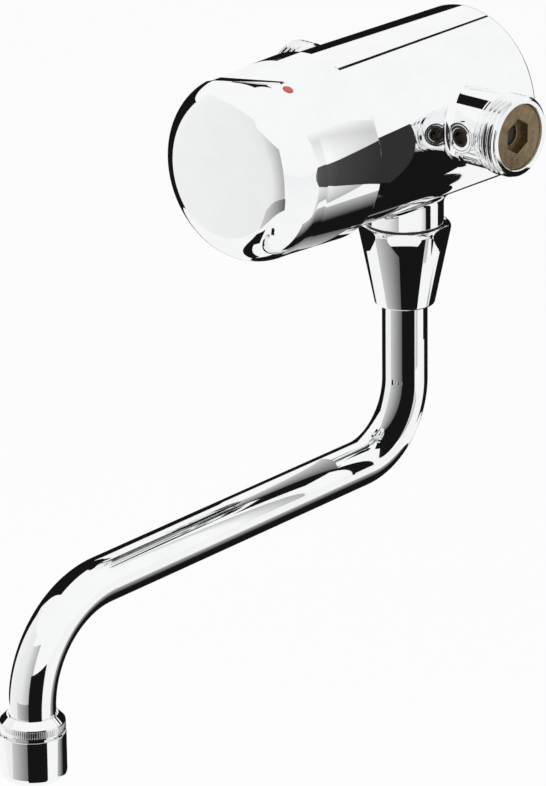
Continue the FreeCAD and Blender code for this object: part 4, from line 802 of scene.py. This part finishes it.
climb = math.ceil((THREAD_END - THREAD_START + 2 * PITCH) / PITCH * STEPS_PER_PITCH)
thread = [thread_row(i) for i in range(climb)]
root = CREST - THREAD_DEPTH
MOUTH, NIPPLE_SEAT, NIPPLE_FOOT = 10.75, 10.4, 38.8
for side in ("left", "right"):
    rows = [(THROAT_RADIUS, NIPPLE_FOOT), (NIPPLE_SEAT, NIPPLE_FOOT), (NIPPLE_SEAT, NECK_END),
            (root, NECK_END), (root, THREAD_START)] + thread
    rows += [(11.15, THREAD_END), (11.0, THREAD_END - 0.03), (10.8, THREAD_END - 0.2),
             (MOUTH, THREAD_END - 0.35), (MOUTH, 48.2), (MOUTH, 40.6), (THROAT_RADIUS, 40.6)]
    turned(f"inlet_nipple_{side}", side, rows, material=turned_chrome)

# %% [markdown]
# ## Non-return valve bodies
# A turned brass disc sits in each inlet mouth, with a hexagon in its middle for a key. The
# hexagon is part of the same outline: its radius is the distance to a flat, which grows towards
# the corners. The face keeps the fine rings of the lathe, which are in the material.

# %% Brass discs with a key hexagon
def hexagon(flat):
    """Distance from the axis to a hexagon whose corners lie at 0, 60, 120 degrees and so on."""
    return lambda turn: flat / cos((turn + 1e-9) % (pi / 3) - pi / 6)


KEY_FLAT, KEY_CHAMFER = 5.0, 0.25
key = hexagon(KEY_FLAT)
for side in ("left", "right"):
    rows = soften([(8.2, 41.2), (10.7, 41.2), (10.7, 48.0, 0.35), (6.3, 48.0)])
    rows += [(lambda turn: key(turn) + KEY_CHAMFER, 48.0), (key, 48.0 - KEY_CHAMFER), (key, 44.65),
             (lambda turn: key(turn) - KEY_CHAMFER, 44.6), (3.6, 44.6), (3.4, 44.4), (3.4, 43.4),
             (8.2, 43.4)]
    turned(f"check_valve_body_{side}", side, rows, slot="plain_brass", material=turned_brass)

# %% [markdown]
# ## Stop-valve glands
# A small bright ring screwed into each valve boss; the plug's key hexagon shows in its middle.

# %% Glands
for side in ("left", "right"):
    rows = soften([(2.95, 41.7), (4.4, 41.7), (4.4, 44.3, 0.3), (2.95, 44.3, 0.3)])
    turned(f"stop_valve_gland_{side}", side + "_valve", rows, columns=96)

# %% [markdown]
# ## The push button
# A heavy chromed cap with a domed front, a big soft corner and a thumb scoop on top. Subdivision
# would soften the scoop's crisp lip, so the cap is swept in rings and each ring is bent where the
# scoop, a cylinder lying across the cap, cuts it: the columns between the two lips lie on the
# scoop's chord and the rest on the round, which puts a clean edge exactly along both lips.

# %% Cap outline
CAP_RIM, CAP_SIDE = (30.9, 77.2), (30.1, 102.0)
CORNER_ROUND = 12.0
DOME_RADIUS, DOME_MIDDLE = 163.2, -44.0       # the flat dome of the front and its centre's station
corner_radius = CAP_SIDE[0] - CORNER_ROUND
corner_station = DOME_MIDDLE + sqrt((DOME_RADIUS - CORNER_ROUND) ** 2 - corner_radius ** 2)
dome_lean = math.asin(corner_radius / (DOME_RADIUS - CORNER_ROUND))
SCOOP_RADIUS, SCOOP_STATION, SCOOP_LEAN = 22.0, 101.4, radians(8.5)
SCOOP_HEIGHT = 48.7                           # from the cap's axis to the scoop's


def cap_radius(station):
    """Outer radius of the cap, up to the end of its soft corner."""
    if station < CAP_SIDE[1]:
        share = (station - CAP_RIM[1]) / (CAP_SIDE[1] - CAP_RIM[1])
        return CAP_RIM[0] + share * (CAP_SIDE[0] - CAP_RIM[0])
    if station < corner_station:
        return CAP_SIDE[0]
    return corner_radius + sqrt(CORNER_ROUND ** 2 - (station - corner_station) ** 2)


def scoop_floor(station):
    """Height of the scoop's surface over the cap's axis, or infinity beside it."""
    away = SCOOP_RADIUS ** 2 - (station - SCOOP_STATION) ** 2
    return SCOOP_HEIGHT - sqrt(away) if away > 0 else math.inf


def scoop_end(outside, inside):
    """Station where the scoop runs out, by halving the gap between two stations."""
    for _ in range(40):
        middle = (outside + inside) / 2
        if scoop_floor(middle) < cap_radius(middle):
            inside = middle
        else:
            outside = middle
    return inside


scoop_back, scoop_front = scoop_end(85.0, SCOOP_STATION), scoop_end(114.0, SCOOP_STATION)
print("the scoop runs from", round(scoop_back, 2), "to", round(scoop_front, 2), "mm from the wall")

# %% Cap
CHORD_COLUMNS, ROUND_COLUMNS, LEAST_LIP = 56, 200, 0.02
SCOOP_RINGS, CORNER_RINGS, DOME_RINGS = 72, 26, 16
RIM_ROUND = 0.5


def cap_stations():
    """Stations of the rings, closer together in the scoop and round the corner."""
    rim = [CAP_RIM[1] + step for step in (RIM_ROUND, RIM_ROUND + GUARD, 3.0, 6.0)]
    middle, half = (scoop_back + scoop_front) / 2, (scoop_front - scoop_back) / 2
    scooped = [middle - half * cos(pi * k / SCOOP_RINGS) for k in range(SCOOP_RINGS + 1)]
    last_turn = pi / 2 - dome_lean
    corner = [corner_station + CORNER_ROUND * sin(last_turn * k / CORNER_RINGS)
              for k in range(CORNER_RINGS + 1)]
    return rim + scooped + [station for station in corner if station > scooped[-1] + 0.1]


def cap_ring(radius, station):
    """One closed ring of the cap, bent where the scoop cuts it."""
    floor_height = scoop_floor(station)
    lip = max(math.acos(min(1.0, floor_height / radius)), LEAST_LIP)
    chord = [radius * sin(lip) * (2 * k / CHORD_COLUMNS - 1) for k in range(CHORD_COLUMNS)]
    ring = [(across, min(floor_height, sqrt(radius ** 2 - across ** 2))) for across in chord]
    turns = [lip + (tau - 2 * lip) * k / ROUND_COLUMNS for k in range(ROUND_COLUMNS)]
    ring += [(radius * sin(turn), radius * cos(turn)) for turn in turns]
    lean_cos, lean_sin = cos(SCOOP_LEAN), sin(SCOOP_LEAN)
    return [(x * lean_cos - z * lean_sin, -station, x * lean_sin + z * lean_cos) for x, z in ring]


# %% Cap from its rings
CAP_INSIDE, CAP_FRONT = 114.8, 119.2          # stations of the middle, inside and outside
inside = soften([(29.85, CAP_RIM[1], 0.2), (29.85, 84.5), (28.75, 84.5), (28.75, 92.4), (25.6, 92.4),
                 (25.6, CAP_INSIDE, 7.6), (0.01, CAP_INSIDE)])
rim_edge = [(CAP_RIM[0] - RIM_ROUND * (1 - sin(k)), CAP_RIM[1] + RIM_ROUND * (1 - cos(k)))
            for k in (0.0, 0.4, 0.8, 1.2)]
side_rows = [(cap_radius(station), station) for station in cap_stations()]
leans = [dome_lean * k / DOME_RINGS for k in range(DOME_RINGS - 1, 0, -1)]
dome = [(DOME_RADIUS * sin(lean), DOME_MIDDLE + DOME_RADIUS * cos(lean)) for lean in leans]
rings = [cap_ring(*row) for row in inside[::-1] + rim_edge + side_rows + dome]
wide = CHORD_COLUMNS + ROUND_COLUMNS
spots = [point for ring in rings for point in ring]
faces = ring_faces(len(rings), wide)
for ring, station in ((0, CAP_INSIDE), (len(rings) - 1, CAP_FRONT)):
    tip = len(spots)
    spots.append((0, -station, 0))
    faces += [(ring * wide + k, ring * wide + (k + 1) % wide, tip) for k in range(wide)]
cap = rough_piece("button_cap_piece", spots, faces)
print("cap:", len(cap.data.polygons), "faces")

# %% [markdown]
# Two round holes are cut in the cap: a shallow one for the red temperature spot beside the scoop,
# and one underneath for the grub screw that holds the cap on its carrier.

# %% Spot and grub hole
DOT_STATION, DOT_ANGLE, DOT_FOOT = 101.5, radians(26.0), 28.9
dot_cos, dot_sin = cos(DOT_ANGLE), sin(DOT_ANGLE)
FRAMES["dot"] = axes_of((0, -DOT_STATION, 0), BACK, (dot_cos, 0, -dot_sin), (dot_sin, 0, dot_cos))
FRAMES["grub"] = axes_of((0, -99.5, 0), RIGHT, BACK, DOWN)
for where, radius, depth in (("dot", 1.75, DOT_FOOT), ("grub", 2.05, 23.0)):
    hole = [(0, depth), (radius, depth), (radius, 33.0), (0, 33.0)]
    carve(cap, rough_piece(where + "_hole", *swept(where, hole, 64)))
dress(cap, ["button_cap"], "push_button", crease=12.0)
dot = [(0, DOT_FOOT), (1.7, DOT_FOOT), (1.7, 29.95), (1.64, 30.06), (1.5, 30.12), (1.1, 30.17),
       (0.6, 30.2), (0, 30.21)]
turned("temperature_dot", "dot", dot, "push_button", "red_enamel", columns=64)

# %% [markdown]
# ## The union nut
# A tapered nut with a rounded shoulder. Its six wrench flats only bite into the wide upper part,
# so each flat ends in a rounded point lower down. The outline follows that edge: between the
# shoulder and the edge the radius is the distance to the flat, and below it the cone goes on.

# %% Nut
NUT_TOP, NUT_FOOT = 36.9, 64.5
NUT_SHOULDER, NUT_NECK, NUT_FLAT = 15.5, 9.8, 14.0
NUT_CORNER = radians(40.6)               # where one corner of the hexagon points
NUT_BORE, NUT_LEDGE, NUT_CUP, NUT_THREAD = 7.8, 50.1, 44.7, 12.25
EVEN_STATION = 50.0                           # below the flats; the rows are level from here on
FLANK_ROWS, CONE_ROWS = 10, 8
nut_slope = (NUT_SHOULDER - NUT_NECK) / (NUT_FOOT - NUT_TOP)


def nut_flat(turn):
    """Distance from the nut's axis to the nearest flat."""
    return hexagon(NUT_FLAT)(turn - NUT_CORNER)


def cone_radius(station):
    """Radius of the nut's cone."""
    return NUT_SHOULDER - nut_slope * (station - NUT_TOP)


def flats_end(turn):
    """Station where the flat at an angle runs out on the cone."""
    return NUT_TOP + (NUT_SHOULDER - nut_flat(turn)) / nut_slope


def flank_row(share, first):
    """A row between the shoulder and the lower edge of the flats."""
    def station(turn):
        return first + max(flats_end(turn) - first, 0.0) * share

    return lambda turn: min(cone_radius(station(turn)), nut_flat(turn)), station


def cone_row(share, first):
    """A row between the lower edge of the flats and the level rows."""
    def station(turn):
        edge = max(flats_end(turn), first)
        return edge + (EVEN_STATION - edge) * share

    return lambda turn: cone_radius(station(turn)), station


blank = soften([(NUT_THREAD, NUT_TOP), (NUT_SHOULDER, NUT_TOP, 1.4), (NUT_NECK, NUT_FOOT, 0.8),
                (NUT_BORE, NUT_FOOT, 0.2), (NUT_BORE, NUT_LEDGE), (11.2, NUT_LEDGE), (11.2, NUT_CUP),
                (NUT_THREAD, NUT_CUP)], step=6.0)
turning_point = next(i for i, (radius, station) in enumerate(blank) if station > NUT_TOP + 3)
rows = [(lambda turn, radius=radius: min(radius, nut_flat(turn)), station)
        for radius, station in blank[:turning_point]]
shoulder_foot = blank[turning_point - 1][1]
rows += [flank_row(k / FLANK_ROWS, shoulder_foot) for k in range(1, FLANK_ROWS + 1)]
rows += [cone_row(k / CONE_ROWS, shoulder_foot) for k in range(1, CONE_ROWS + 1)]
turned("spout_nut", "down", rows + blank[turning_point:], columns=240, start=NUT_CORNER)

# %% [markdown]
# ## The spout tube
# One chromed tube, bent twice. A curve with a round bevel is the usual way; here the rings are
# placed along straight runs and true arcs, because a bending machine leaves exactly those, and
# the long reflections along the tube would show any waviness of a spline.

# %% Bent tube
TUBE_RADIUS, TUBE_WALL = 7.5, 1.0
RISER_Y, END_Y = -PORT_SETBACK, -PORT_SETBACK - SPOUT_REACH
TUBE_CORNERS = [(RISER_Y, -38.05), (RISER_Y, -113.8), (END_Y, -119.3), (END_Y, -156.6)]   # (Y, Z)
TUBE_BENDS = {1: 24.0, 2: 33.0}
BEND_STEP = 2.5
TUBE_COLUMNS = 128


def tube_path():
    """Spots and directions along the middle line, in the plane of the spout."""
    corners = [Vector(corner) for corner in TUBE_CORNERS]
    path = [(corners[0], (corners[1] - corners[0]).normalized())]
    for i, radius in TUBE_BENDS.items():
        path += corner_arc(corners[i - 1], corners[i], corners[i + 1], radius, BEND_STEP)
    return path + [(corners[3], (corners[3] - corners[2]).normalized())]


def tube_rings(radius):
    """Rings of points round the middle line."""
    turns = [tau * k / TUBE_COLUMNS for k in range(TUBE_COLUMNS)]
    return [[(radius * cos(turn), y - radius * sin(turn) * dz,
              z + radius * sin(turn) * dy) for turn in turns]
            for (y, z), (dy, dz) in tube_path()]


rings = tube_rings(TUBE_RADIUS) + tube_rings(TUBE_RADIUS - TUBE_WALL)[::-1]
spots = [point for ring in rings for point in ring]
faces = ring_faces(len(rings), TUBE_COLUMNS, closed=True)
dress(rough_piece("spout_tube_piece", spots, faces), ["spout_tube"], "spout")

# %% [markdown]
# ## Spout end and aerator
# A collar brazed on the tube widens in a cone to a band of fine straight ribs for the fingers.
# Below it hangs the aerator's housing, a plain cup with a soft foot. The ribs are real: the
# radius of the band rises and falls round the collar.

# %% Ribbed collar
RIBS, RIB_HEIGHT = 96, 0.14


def ribbed(radius):
    """A radius that rises and falls with the ribs."""
    def height(turn):
        wave = abs((turn * RIBS / tau) % 1.0 - 0.5) * 2
        return radius - RIB_HEIGHT * (1 - min(1.0, 1.6 * wave))
    return height


BAND_TOP, BAND_FOOT, BAND_RADIUS = 155.55, 158.0, 10.35
cone = [(7.55, 153.0), (8.15, 153.0, 0.25), (10.28, 155.2, 0.25)]
collar = soften(cone + [(10.28, 158.4), (8.8, 158.4), (8.8, 164.0), (6.5, 164.0), (6.5, 156.65),
                        (7.55, 156.65)])
band_row = next(i for i, (radius, station) in enumerate(collar) if station > 155.25 and radius > 10)
collar[band_row:band_row + 1] = [
    (10.22, BAND_TOP), (ribbed(BAND_RADIUS), BAND_TOP + 0.1), (ribbed(BAND_RADIUS), BAND_FOOT - 0.1),
    (10.22, BAND_FOOT), (10.1, 158.4)]
turned("spout_end_collar", "outlet", collar, "spout", columns=384)

# %% Aerator housing
housing = soften([(8.85, 159.2), (10.5, 159.2, 0.3), (10.5, 174.5, 2.6), (7.6, 174.5, 0.3),
                  (7.6, 171.9), (8.85, 171.9)])
turned("aerator_housing", "outlet", housing, "spout")
